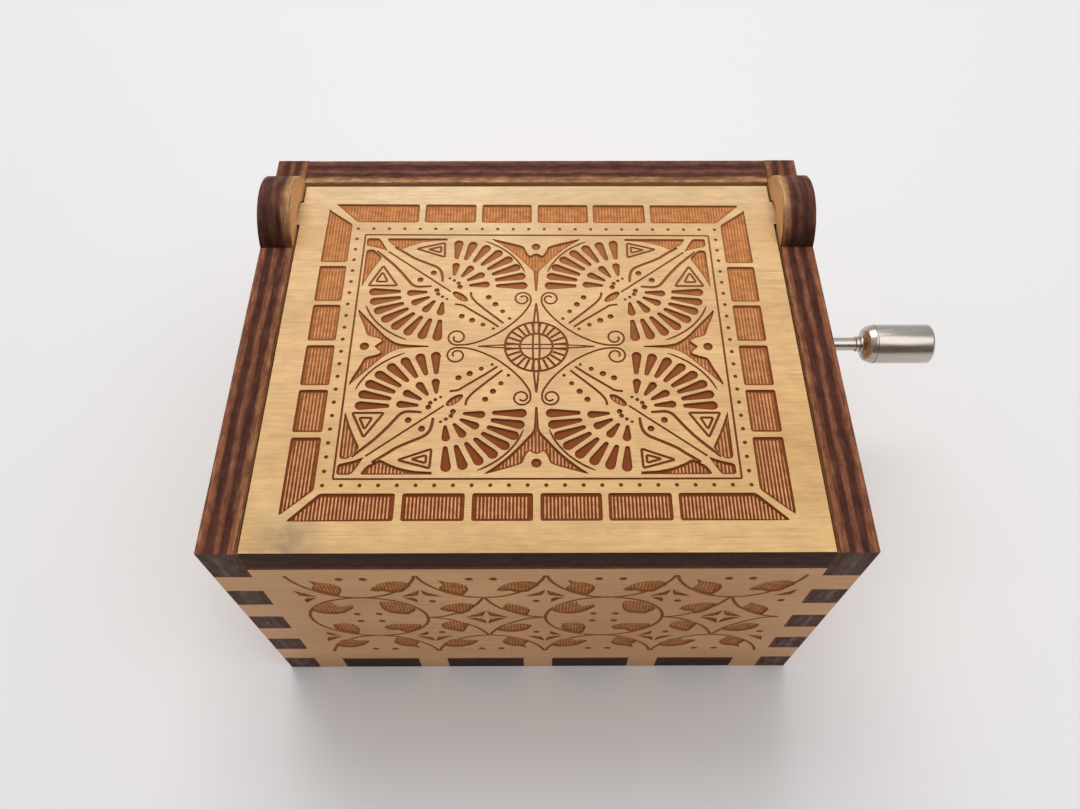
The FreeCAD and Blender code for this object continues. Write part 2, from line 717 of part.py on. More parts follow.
def crank_wire():
    """A bent wire: out of the socket, back along the arm, and out again to the knob."""
    bend, radius = value("wire_bend"), value("wire_radius")
    x0, x1, x2 = value(socket_x), value(arm_x), value(f"{rivet_x} + rivet_thickness")
    y0, y1, z = value(shaft_y), value(knob_y), value(shaft_z)
    out, back = FreeCAD.Vector(1, 0, 0), FreeCAD.Vector(0, 1, 0)

    def leg(start, end, along):
        return Part.makeCylinder(radius, (end - start).Length, start, along)

    def elbow(start, along, centre, axis):
        disc = Part.Face(Part.Wire(Part.makeCircle(radius, start, along)))
        return disc.revolve(centre, axis, 90)

    corners = [FreeCAD.Vector(x, y, z) for x, y in (
        (x0, y0), (x1 - bend, y0), (x1, y0 + bend), (x1, y1 - bend), (x1 + bend, y1), (x2, y1))]
    first_centre = FreeCAD.Vector(x1 - bend, y0 + bend, z)
    second_centre = FreeCAD.Vector(x1 + bend, y1 - bend, z)
    swage = Part.makeCylinder(value("swage_radius"), value("rivet_thickness"), FreeCAD.Vector(
        value(f"{knob_x} - end_play - rivet_thickness"), y1, z), out)
    return leg(corners[0], corners[1], out).fuse([
        elbow(corners[1], out, first_centre, FreeCAD.Vector(0, 0, 1)),
        leg(corners[2], corners[3], back),
        elbow(corners[3], back, second_centre, FreeCAD.Vector(0, 0, -1)),
        leg(corners[4], corners[5], out), swage]).removeSplitter()


wire = doc.addObject("Part::Feature", "wire")
wire.Shape = crank_wire()
keep(wire, "crank_wire")

knob = body("crank_knob")
profile = sketch(knob, "XZ_Plane")
knob_bore = "(wire_radius + running_clearance)"
polygon(profile, [
    (knob_bore, "0"), ("knob_radius - knob_shoulder_drop", "0"), ("knob_radius", "knob_shoulder"),
    ("knob_radius", "knob_length - knob_rim"),
    ("knob_radius - knob_rim", "knob_length"), ("knob_recess_radius", "knob_length"),
    ("knob_recess_radius", "knob_length - knob_recess_depth"), (knob_bore, "knob_length - knob_recess_depth")])
turn(profile, "V_Axis")
keep(place(knob, knob_x, knob_y, shaft_z, ALONG_X), "crank_knob")

rivet = cut(
    primitive("Cylinder", rivet_x, knob_y, shaft_z, ALONG_X, Radius="rivet_radius", Height="rivet_thickness"),
    primitive("Cylinder", rivet_x, knob_y, shaft_z, ALONG_X, Radius="wire_radius", Height="rivet_thickness"))
keep(rivet, "knob_rivet")


# ---------------------------------------------------------------------------- screws

def headed_screw(x, y, z, head, rise, shank, bite):
    """A screw with its head's underside at z and its shank below."""
    return fuse(primitive("Cylinder", x, y, z, Radius=head, Height=rise),
                primitive("Cylinder", x, y, f"{z} - {bite}", Radius=shank, Height=bite))


def countersunk_screw(x, y):
    """A screw driven up through the bottom panel, its head just inside the underside."""
    return fuse(primitive("Cone", x, y, "wood_screw_sink", Radius1="wood_screw_head",
                          Radius2="wood_screw_shank", Height="wood_screw_cone"),
                primitive("Cylinder", x, y, "wood_screw_sink + wood_screw_cone", Radius="wood_screw_shank",
                          Height="ply + wood_screw_bite - wood_screw_sink - wood_screw_cone"))


keep(group([countersunk_screw(x, y) for x, y in WOOD_SCREWS]), "bedplate_screws")
keep(group([
    headed_screw(x, y, f"({comb_z} + comb_thickness)", "comb_screw_head", "comb_screw_rise", "comb_screw_shank",
                 "comb_screw_bite") for x, y in comb_screw_spots()]), "comb_screws")
keep(group([
    headed_screw(x, y, f"({deck_z} + bracket_thickness)", "bracket_screw_head", "bracket_screw_rise",
                 "bracket_screw_shank", "bracket_screw_bite") for x, y in BRACKET_SCREWS]), "bracket_screws")

doc.recompute()
for item in doc.Objects:
    if {"Invalid", "Error"} & set(item.State):
        raise RuntimeError(f"{item.Label} failed: {item.State}")
os.makedirs("parts", exist_ok=True)
for piece in subparts:
    if piece.Shape.isNull() or not piece.Shape.isValid() or not piece.Shape.Solids:
        raise RuntimeError(f"{piece.Label} has no valid shape")
    piece.Shape.exportStep(f"parts/{piece.Label}.step")
    print(piece.Label, len(piece.Shape.Solids), round(piece.Shape.Volume, 2))
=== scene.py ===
"""A hand-cranked tune box in plywood: engraved panels, nickel crank, and the movement inside.

The plywood parts are worked out in millimetres on their own flat sheet and placed in metres.
"""

import math

import bpy
import numpy as np
from mathutils import Matrix, Vector
from mathutils.geometry import delaunay_2d_cdt


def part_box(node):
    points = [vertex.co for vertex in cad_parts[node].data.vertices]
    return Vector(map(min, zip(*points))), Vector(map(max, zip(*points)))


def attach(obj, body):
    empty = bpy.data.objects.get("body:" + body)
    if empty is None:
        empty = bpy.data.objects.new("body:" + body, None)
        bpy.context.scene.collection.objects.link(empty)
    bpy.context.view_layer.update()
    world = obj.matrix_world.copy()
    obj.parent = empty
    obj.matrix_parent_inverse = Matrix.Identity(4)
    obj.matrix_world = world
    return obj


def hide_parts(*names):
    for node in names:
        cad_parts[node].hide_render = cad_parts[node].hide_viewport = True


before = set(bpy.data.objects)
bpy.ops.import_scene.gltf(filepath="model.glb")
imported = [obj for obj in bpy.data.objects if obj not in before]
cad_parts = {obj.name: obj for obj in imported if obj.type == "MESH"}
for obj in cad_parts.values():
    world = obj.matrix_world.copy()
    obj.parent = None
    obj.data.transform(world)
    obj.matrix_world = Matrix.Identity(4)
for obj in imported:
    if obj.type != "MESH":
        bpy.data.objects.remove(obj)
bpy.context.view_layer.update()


# ---------------------------------------------------------------------------- camera
# A small camera held 115 mm above the table, in front of the box, looking down at the lid.

MM = 0.001
EYE = np.array([0.005, -57.34, 115.0]) * MM
PITCH, YAW, ROLL = math.radians(58.175), math.radians(0.33), math.radians(0.144)
FOCAL_PIXELS, FRAME_PIXELS, SENSOR = 878.7, 1080, 36

forward = np.array([math.sin(YAW) * math.cos(PITCH), math.cos(YAW) * math.cos(PITCH), -math.sin(PITCH)])
level = np.array([math.cos(YAW), -math.sin(YAW), 0.0])
upright = np.cross(level, forward)
right = math.cos(ROLL) * level + math.sin(ROLL) * upright
up = math.cos(ROLL) * upright - math.sin(ROLL) * level

camera = bpy.data.objects.new("camera", bpy.data.cameras.new("camera"))
camera.data.sensor_width = SENSOR
camera.data.lens = SENSOR * FOCAL_PIXELS / FRAME_PIXELS
camera.data.clip_start = 5 * MM
facing_box = Matrix(np.column_stack([right, up, -forward]).tolist()).to_4x4()
camera.matrix_world = Matrix.Translation(EYE) @ facing_box
bpy.context.scene.collection.objects.link(camera)
bpy.context.scene.camera = camera


# ---------------------------------------------------------------------------- table and light
# A plain pale table top and soft daylight: most of it from above and behind, a little from the
# front, so that the lid is bright and the front wall lies in its own shade.

TABLE_HALF, TABLE_TOP = 1500, -0.02


def add(tree, kind, inputs=None, **properties):
    """Add a shader node.  Each input takes a number, a colour or another node's output."""
    made = tree.nodes.new(kind)
    for name, setting in properties.items():
        setattr(made, name, setting)
    for name, source in (inputs or {}).items():
        if isinstance(source, bpy.types.NodeSocket):
            tree.links.new(source, made.inputs[name])
        else:
            made.inputs[name].default_value = source
    return made


def calc(tree, operation, *values, clamp=False):
    """One operation on numbers or other nodes' outputs."""
    made = add(tree, "ShaderNodeMath", dict(enumerate(values)), operation=operation, use_clamp=clamp)
    return made.outputs[0]


def new_material(name, roughness=0.5, metallic=0.0, gloss=0.5):
    """A material with its node tree and its one shader."""
    material = bpy.data.materials.new(name)
    material.use_nodes = True
    shader = material.node_tree.nodes["Principled BSDF"]
    shader.inputs["Roughness"].default_value = roughness
    shader.inputs["Metallic"].default_value = metallic
    shader.inputs["Specular IOR Level"].default_value = gloss
    return material, material.node_tree, shader


def ramp(tree, factor, *stops):
    """A colour ramp through stops of position and colour, or of position and grey."""
    made = add(tree, "ShaderNodeValToRGB", {"Fac": factor})
    stops = [(at, colour if isinstance(colour, tuple) else (colour,) * 3) for at, colour in stops]
    for element, (at, colour) in zip(made.color_ramp.elements, (stops[0], stops[-1])):
        element.position = at
        element.color = (*colour, 1)
    for at, colour in stops[1:-1]:
        made.color_ramp.elements.new(at).color = (*colour, 1)
    return made.outputs["Color"]


def build_mesh(name, points, faces, materials, face_material=None):
    """A mesh object at the origin from points in millimetres, with its materials."""
    mesh = bpy.data.meshes.new(name)
    mesh.from_pydata((np.asarray(points) * MM).tolist(), [], faces)
    for material in materials:
        mesh.materials.append(material)
    if face_material is not None:
        mesh.polygons.foreach_set("material_index", np.asarray(face_material, np.int32))
    made = bpy.data.objects.new(name, mesh)
    bpy.context.scene.collection.objects.link(made)
    return made


table_paint, tree, shader = new_material("table_paint", 0.55, gloss=0.2)
shader.inputs["Base Color"].default_value = (0.85, 0.848, 0.86, 1)
table_corners = [(x * TABLE_HALF, y * TABLE_HALF, TABLE_TOP) for x, y in ((-1, -1), (1, -1), (1, 1), (-1, 1))]
table = build_mesh("table", table_corners, [(0, 1, 2, 3)], [table_paint])


def soft_lamp(name, place, target, size, watts, colour):
    """A square area lamp at a place, turned towards a target, both in millimetres."""
    lamp = bpy.data.objects.new(name, bpy.data.lights.new(name, "AREA"))
    lamp.data.size = size * MM
    lamp.data.energy = watts
    lamp.data.color = colour
    turn = Vector(np.array(place, float) - target).to_track_quat("Z", "Y").to_matrix().to_4x4()
    lamp.matrix_world = Matrix.Translation(np.array(place) * MM) @ turn
    bpy.context.scene.collection.objects.link(lamp)


soft_lamp("window", (-60, 330, 560), (0, 0, 20), 460, 2.15, (1.0, 0.985, 0.965))
soft_lamp("room", (220, -120, 520), (0, 0, 10), 400, 0.7, (1.0, 0.985, 0.96))

world = bpy.data.worlds.new("daylight")
world.use_nodes = True
bpy.context.scene.world = world
sky = world.node_tree
towards = add(sky, "ShaderNodeSeparateXYZ", {"Vector": add(sky, "ShaderNodeTexCoord").outputs["Generated"]})
backdrop = ramp(sky, calc(sky, "MULTIPLY_ADD", towards.outputs["Y"], 0.5, 0.5),
                (0.16, (0.150, 0.128, 0.112)), (0.245, (0.47, 0.465, 0.465)),
                (0.7, (0.45, 0.455, 0.465)), (0.95, (0.58, 0.59, 0.61)))
sky.links.new(backdrop, sky.nodes["Background"].inputs["Color"])
bpy.context.scene.view_settings.view_transform = "Standard"


# ---------------------------------------------------------------------------- plywood
# Three-ply birch sheet, cut and engraved by laser: pale grained faces, cut edges scorched dark
# with the plies showing as bands, and painted darker and greyer where they face the front, which is
# painted shade; engraved floors in fine upright raster lines.

PLY = (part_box("lid_panel")[1].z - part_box("lid_panel")[0].z) / MM
ENGRAVED, SCRIBED, RIPPLE = 0.22, 0.13, 0.05        # depth of pockets and of lines, height of hatch ridges
HATCH_PITCH, HATCH_SHIFT = 0.36, 1e-4               # the shift keeps hatch lines off the outlines' points
HATCHED = 0.30                                      # least double area over girth of a hatched floor
SLOPE, EDGE_BREAK = 0.1, 0.07                       # width of a pocket's wall, break of a sheet's edge
CURVE_STEP = 1.0                                    # an edge is on a curve where its steps are shorter
SPOT_SIDES = 12
HALF_BURNT, CURVE_CHAR = 0.6, 0.85                  # scorch of plain narrow floors, char of curved edges
HATCH_TONES, SOOT_TONES = (-20.0, 8.0), (-8.0, 14.0)  # where the front's tones end and the back's begin
BACK_GRAIN = 97                                     # puts the back's grain elsewhere than the face's


def on_sheet(tree, axis):
    """A point's place along one axis of its sheet, in millimetres."""
    sheet = add(tree, "ShaderNodeUVMap", uv_map="sheet").outputs["UV"]
    return add(tree, "ShaderNodeSeparateXYZ", {"Vector": sheet}).outputs[axis]


def attribute(tree, name):
    """A number that the mesh carries."""
    return add(tree, "ShaderNodeAttribute", attribute_name=name).outputs["Fac"]


def spread(tree, value, low, high):
    """A value's way from a low one, at nought, to a high one, at one."""
    made = add(tree, "ShaderNodeMapRange", {"Value": value, "From Min": low, "From Max": high})
    return made.outputs["Result"]


def sheet_noise(tree, along, across, detail=3.0, roughness=0.5, shift=0.0):
    """Noise stretched on the sheet: so many grains per millimetre along the fibres and across them."""
    placed = add(tree, "ShaderNodeMapping", {
        "Vector": add(tree, "ShaderNodeUVMap", uv_map="sheet").outputs["UV"],
        "Location": (shift, shift, 0), "Scale": (along, across, 1)}).outputs["Vector"]
    return add(tree, "ShaderNodeTexNoise", {"Vector": placed, "Scale": 1.0, "Detail": detail,
                                            "Roughness": roughness}, noise_dimensions="2D").outputs["Fac"]


def blend_colours(tree, factor, low, high, mode="MIX"):
    """Mix two colours by a factor."""
    made = add(tree, "ShaderNodeMix", data_type="RGBA", blend_type=mode)
    for name, source in (("Factor", factor), ("A", low), ("B", high)):
        socket = next(s for s in made.inputs if s.name == name and s.enabled)
        if isinstance(source, bpy.types.NodeSocket):
            tree.links.new(source, socket)
        else:
            socket.default_value = source if name == "Factor" else (*source, 1)
    return next(s for s in made.outputs if s.enabled)


def tinted(tree, colour, factor, *stops):
    """A colour multiplied by a ramp along a factor."""
    return blend_colours(tree, 1.0, colour, ramp(tree, factor, *stops), "MULTIPLY")


def paint(tree, shader, colour):
    """Give a shader its colour."""
    tree.links.new(colour, shader.inputs["Base Color"])


def bumped(tree, shader, height, strength, distance):
    """Give a shader a bump from a height."""
    bump = add(tree, "ShaderNodeBump", {"Height": height, "Strength": strength, "Distance": distance * MM})
    tree.links.new(bump.outputs["Normal"], shader.inputs["Normal"])


def face_wood(name, pale, deep, vein, gloss):
    """The sheet's face: a broad tone between two colours, long streaks and fine fibres along the grain."""
    material, tree, shader = new_material(name, 0.45, gloss=gloss)
    fibre = sheet_noise(tree, 0.35, 9.0, 3.0, 0.6, 31.0)
    streaks = ramp(tree, sheet_noise(tree, 0.06, 2.4, 4.0, 0.62, 7.0), (0.45, 0.0), (0.75, 0.5))
    colour = ramp(tree, sheet_noise(tree, 0.035, 0.09, 2.0), (0.3, deep), (0.7, pale))
    colour = blend_colours(tree, streaks, colour, vein)
    colour = tinted(tree, colour, fibre, (0.3, (0.89, 0.86, 0.82)), (0.62, 1.04))
    paint(tree, shader, colour)
    bumped(tree, shader, fibre, 0.3, 0.05)
    return material, tree, shader, colour


def engraving(name, front, back):
    """An engraved floor: the colours of its ridges, of its valleys and of its scorched rim, at the
    sheet's front and at its back, with faint raster lines at the hatch's pitch."""
    material, tree, shader = new_material(name, 0.85, gloss=0.1)
    away = spread(tree, on_sheet(tree, "Y"), *HATCH_TONES)
    ridge, valley = (blend_colours(tree, away, low, high) for low, high in zip(front[:2], back[:2]))
    soot = blend_colours(tree, spread(tree, on_sheet(tree, "Y"), *SOOT_TONES), front[2], back[2])
    deep = ramp(tree, attribute(tree, "cut"), (0.785, 0.0), (0.85, 0.6), (0.91, 1.0))
    patches = sheet_noise(tree, 0.9, 1.3, 4.0, 0.6, 3.0)
    wave = calc(tree, "COSINE", calc(tree, "MULTIPLY", on_sheet(tree, "X"), 2 * math.pi / HATCH_PITCH))
    toned = blend_colours(tree, deep, ridge, valley)
    toned = tinted(tree, toned, patches, (0.35, (0.80, 0.77, 0.74)), (0.65, (1.14, 1.13, 1.12)))
    toned = tinted(tree, toned, spread(tree, wave, -1.0, 1.0),
                   (0.2, (0.84, 0.80, 0.77)), (0.8, (1.06, 1.05, 1.04)))
    burn = ramp(tree, attribute(tree, "scorch"), (0.1, 0.0), (0.85, 1.0))
    paint(tree, shader, blend_colours(tree, burn, toned, soot))
    bumped(tree, shader, sheet_noise(tree, 5.0, 5.0), 0.4, 0.05)
    return material


def burnt(name, front, back):
    """The sloped wall round an engraved floor, its darker and paler colour at the sheet's front and back."""
    material, tree, shader = new_material(name, 0.9, gloss=0.1)
    away = spread(tree, on_sheet(tree, "Y"), *SOOT_TONES)
    low, high = (blend_colours(tree, away, near, far) for near, far in zip(front, back))
    paint(tree, shader, blend_colours(tree, sheet_noise(tree, 1.5, 1.5, 2.0), low, high))
    return material


# The walls' face is the lid's plywood in a redder, deeper tone: painted warm bounce light on walls that lie
# in shade.
wall_face = face_wood("wall_face", (0.79, 0.447, 0.20), (0.665, 0.343, 0.143), (0.583, 0.287, 0.107), 0.3)[0]
wall_floor = engraving("wall_floor", ((0.645, 0.302, 0.122), (0.50, 0.212, 0.078), (0.37, 0.133, 0.048)),
                       ((0.63, 0.295, 0.118), (0.47, 0.195, 0.07), (0.35, 0.125, 0.044)))
wall_burn = burnt("wall_burn", ((0.30, 0.11, 0.042), (0.42, 0.18, 0.07)),
                  ((0.30, 0.11, 0.042), (0.42, 0.18, 0.07)))

cut_edge, tree, shader = new_material("cut_edge", 0.65, gloss=0.12)
wander = calc(tree, "SUBTRACT", sheet_noise(tree, 0.12, 0.3, 3.0, 0.55, 11.0), 0.5)
wavy = calc(tree, "MULTIPLY_ADD", wander, 0.45, on_sheet(tree, "Y"))
across = calc(tree, "DIVIDE", wavy, PLY)
plies = ramp(
    tree, across,
    (0.0, (0.16, 0.0535, 0.0241)), (0.05, (0.272, 0.105, 0.0504)), (0.17, (0.216, 0.0786, 0.0369)),
    (0.25, (0.0679, 0.0203, 0.0121)), (0.40, (0.08, 0.0243, 0.0142)), (0.47, (0.216, 0.0818, 0.0405)),
    (0.55, (0.2, 0.0713, 0.0355)), (0.62, (0.0679, 0.0203, 0.0121)), (0.77, (0.0763, 0.0235, 0.0128)),
    (0.84, (0.208, 0.0745, 0.0355)), (0.96, (0.272, 0.105, 0.0476)), (1.0, (0.112, 0.0324, 0.0142)))
curved_plies = ramp(tree, across, (0.0, (0.095, 0.036, 0.028)), (0.28, (0.072, 0.026, 0.023)),
                    (0.48, (0.14, 0.055, 0.04)), (0.62, (0.075, 0.027, 0.022)), (0.72, (0.18, 0.07, 0.04)),
                    (0.80, (0.45, 0.24, 0.11)), (1.0, (0.60, 0.37, 0.17)))
# Painted shade: cut edges that face the front take these darker, greyer tones in place of the plies. The grey
# ones are painted shade only; the black ones, on panels cut with more char, are partly real scorch and partly
# painted shade.
grey_shaded_front = ramp(
    tree, across, (0.0, (0.166, 0.058, 0.0313)), (0.1, (0.096, 0.0506, 0.0374)),
    (0.3, (0.113, 0.0681, 0.0513)), (0.42, (0.183, 0.112, 0.0818)), (0.52, (0.105, 0.0616, 0.047)),
    (0.7, (0.122, 0.0736, 0.0548)), (0.9, (0.0873, 0.0423, 0.0305)), (1.0, (0.192, 0.0653, 0.0313)))
black_shaded_front = ramp(tree, across, (0.0, (0.066, 0.019, 0.009)), (0.1, (0.040, 0.015, 0.010)),
                   (0.5, (0.055, 0.0195, 0.0127)), (0.8, (0.043, 0.015, 0.009)), (0.9, (0.125, 0.034, 0.014)),
                   (1.0, (0.185, 0.056, 0.022)))
char, front_shade = attribute(tree, "char"), attribute(tree, "front_shade")
drift = calc(tree, "SUBTRACT", sheet_noise(tree, 0.2, 1.6, 4.0, 0.6, 5.0), 0.56)
sooty = calc(tree, "MULTIPLY_ADD", drift, 1.6, char, clamp=True)
front_shade_tone = blend_colours(tree, spread(tree, char, 0.1, 0.4), grey_shaded_front, black_shaded_front)
edge_tone = blend_colours(tree, front_shade, blend_colours(tree, sooty, plies, curved_plies), front_shade_tone)
edge_tone = tinted(tree, edge_tone, sheet_noise(tree, 0.55, 1.1, 4.0, 0.7, 41.0),
                   (0.36, (0.72, 0.68, 0.66)), (0.64, (1.25, 1.25, 1.24)))
edge_tone = tinted(tree, edge_tone, sheet_noise(tree, 0.25, 5.0, 4.0, 0.65, 17.0),
                   (0.3, (0.62, 0.58, 0.57)), (0.7, (1.32, 1.3, 1.28)))
paint(tree, shader, edge_tone)
bumped(tree, shader, sheet_noise(tree, 5.0, 1.2, 3.0), 0.5, 0.08)


def area(loop):
    """Twice the signed area of a closed loop: positive when it runs anticlockwise."""
    x, y = loop.T
    return float(np.dot(x, np.roll(y, -1)) - np.dot(y, np.roll(x, -1)))


def mitres(loop):
    """Each point's way to the left of a closed loop, square to the mean of its two edges, and how
    far one unit's shift of both edges moves it: one over the cosine of half their turn, at most two."""
    ahead = np.roll(loop, -1, axis=0) - loop
    ahead = ahead / np.linalg.norm(ahead, axis=1, keepdims=True)
    left = np.column_stack([-ahead[:, 1], ahead[:, 0]])
    way = left + np.roll(left, 1, axis=0)
    way = way / np.maximum(np.linalg.norm(way, axis=1, keepdims=True), 1e-6)
    return way, 1 / np.maximum((way * left).sum(axis=1, keepdims=True), 0.5)


def shifted(loop, distance):
    """A closed loop moved to its left by a distance, to its right by a negative one."""
    way, stretch = mitres(loop)
    return loop + way * stretch * distance


def inset(loop, distance, share):
    """An anticlockwise loop moved inwards by a distance, but by no more than a share of its own
    thickness, which is how far each point's way runs before it meets the loop again."""
    way, stretch = mitres(loop)
    start, edge = loop[None], (np.roll(loop, -1, axis=0) - loop)[None]
    apart = start - loop[:, None]
    slant = way[:, :1] * edge[..., 1] - way[:, 1:] * edge[..., 0]
    slant = np.where(np.abs(slant) < 1e-9, 1e-9, slant)
    reach = (apart[..., 0] * edge[..., 1] - apart[..., 1] * edge[..., 0]) / slant
    along = (apart[..., 0] * way[:, 1:] - apart[..., 1] * way[:, :1]) / slant
    met = (along >= -1e-6) & (along <= 1 + 1e-6) & (reach > 1e-4)
    thickness = np.where(met, reach, 1e3).min(axis=1, keepdims=True)
    return loop + way * np.minimum(stretch * distance, share * thickness)


def hatch(loop, margin=0.03):
    """Upright lines at each half pitch, as far as they lie inside a closed loop, in pairs of points."""
    start, end = loop, np.roll(loop, -1, axis=0)
    step = HATCH_PITCH / 2
    ends = []
    for k in range(math.ceil(loop[:, 0].min() / step), math.floor(loop[:, 0].max() / step) + 1):
        x = k * step + HATCH_SHIFT
        crossed = (start[:, 0] - x) * (end[:, 0] - x) < 0
        share = (x - start[crossed, 0]) / (end[crossed, 0] - start[crossed, 0])
        levels = np.sort(start[crossed, 1] + share * (end[crossed, 1] - start[crossed, 1]))
        for low, high in levels[:len(levels) // 2 * 2].reshape(-1, 2):
            if high - low > 8 * margin:
                ends += [(x, low + margin), (x, high - margin)]
    return np.array(ends).reshape(-1, 2)


def within(points, loop):
    """Which points a closed loop winds round: its edges that cross the ray to the right are counted,
    upward ones against downward ones."""
    x, y = points[:, :1], points[:, 1:]
    (ax, ay), (bx, by) = loop.T, np.roll(loop, -1, axis=0).T
    turn = (bx - ax) * (y - ay) - (x - ax) * (by - ay)
    upward = (ay <= y) & (by > y) & (turn > 0)
    downward = (ay > y) & (by <= y) & (turn < 0)
    return upward.sum(axis=1) != downward.sum(axis=1)


def covered(points, loops):
    """Which points lie within any of the loops."""
    found = np.zeros(len(points), bool)
    for loop in loops:
        near = ((points > loop.min(axis=0)) & (points < loop.max(axis=0))).all(axis=1) & ~found
        found[near] = within(points[near], loop)
    return found


def triangulate(outline, holes, marks):
    """Divide a sheet's face into triangles along its outline, its holes and its engraved marks.

    A mark is its rim, its floor and the clean part of its floor, which is hatched where it is broad and
    may be None.  The result is the points, their depth, how scorched they are, the triangles and what
    each one is: 0 face, 1 floor, 2 wall.
    """
    rims, floors, cleans = ([mark[i] for mark in marks if mark[i] is not None] for i in range(3))
    loops = [outline, *holes, *rims, *floors, *cleans]
    broad = [clean for clean in cleans
             if abs(area(clean)) > HATCHED * np.linalg.norm(np.diff(clean, axis=0), axis=1).sum()]
    lines = np.vstack([np.zeros((0, 2))] + [hatch(clean) for clean in broad])
    hearts = np.array([clean.mean(axis=0) for clean in cleans
                       if len(clean) == SPOT_SIDES // 2]).reshape(-1, 2)
    sizes = np.array([len(loop) for loop in loops])
    ends = np.cumsum(sizes)
    here = np.arange(ends[-1])
    onward = here + 1
    onward[ends - 1] = ends - sizes
    edges = np.vstack([np.column_stack([here, onward]), ends[-1] + np.arange(len(lines)).reshape(-1, 2)])
    points = np.vstack([*loops, lines, hearts])
    found, _, triangles, _, _, _ = delaunay_2d_cdt(points.tolist(), edges.tolist(), [], 0, 1e-5, False)
    points = np.array([tuple(point) for point in found])
    triangles = np.array([tuple(corners) for corners in triangles])
    middles = points[triangles].mean(axis=1)
    kept = within(middles, outline) & ~covered(middles, holes)
    triangles, middles = triangles[kept], middles[kept]
    floor, rim, clean = (covered(middles, group) for group in (floors, rims, cleans))
    wide = covered(middles, [rim for rim, _, clean in marks if clean is not None])
    uses, floor_uses, clean_uses, wide_uses, broad_uses = (
        np.bincount(triangles[group].ravel(), minlength=len(points))
        for group in (slice(None), floor, clean, wide & floor, covered(middles, broad)))
    steps = (points[:, 0] - HATCH_SHIFT) / (HATCH_PITCH / 2)
    ridge = (np.abs(steps - np.round(steps)) < 1e-3) & (np.round(steps) % 2 == 0)
    for heart in hearts:
        ridge |= (np.abs(points - heart) < 1e-3).all(axis=1)
    depth = np.where(floor_uses > 0, np.where(wide_uses > 0, ENGRAVED, SCRIBED), 0.0)
    depth = np.where((clean_uses > 0) & (clean_uses == uses) & ridge, ENGRAVED - RIPPLE, depth)
    sunk = depth[triangles].max(axis=1) > 0
    kind = np.where(floor, 1, np.where(rim & sunk, 2, 0))
    scorch = np.where(broad_uses > 0, 0.0, np.where(clean_uses > 0, HALF_BURNT, 1.0))
    return points, depth, scorch, triangles, kind


def wall_rows(loop, rows):
    """Points, quads, sheet places and sort of a cut edge: the loop repeated at each row's depth,
    shifted as the row says.  The sort is each quad's outward direction and whether it is on a curve."""
    count, bands = len(loop), range(len(rows) - 1)
    rings = [np.column_stack([shifted(loop, inwards) if inwards else loop, np.full(count, depth)])
             for inwards, depth in rows]
    here = np.arange(count)
    onward = (here + 1) % count
    quads = [np.column_stack([row * count + here, (row + 1) * count + here,
                              (row + 1) * count + onward, row * count + onward]) for row in bands]
    edges = np.roll(loop, -1, axis=0) - loop
    size = np.linalg.norm(edges, axis=1)
    length = np.concatenate([[0], np.cumsum(size)])
    spans = [np.stack([np.column_stack([length[ahead:count + ahead], np.full(count, rows[row + down][1])])
                       for ahead, down in ((0, 0), (0, 1), (1, 1), (1, 0))], axis=1) for row in bands]
    outward = np.column_stack([edges[:, 1], -edges[:, 0]]) / size[:, None]
    sort = np.column_stack([outward, size < CURVE_STEP])
    return np.vstack(rings), np.vstack(quads), np.vstack(spans).reshape(-1, 2), np.tile(sort, (len(bands), 1))


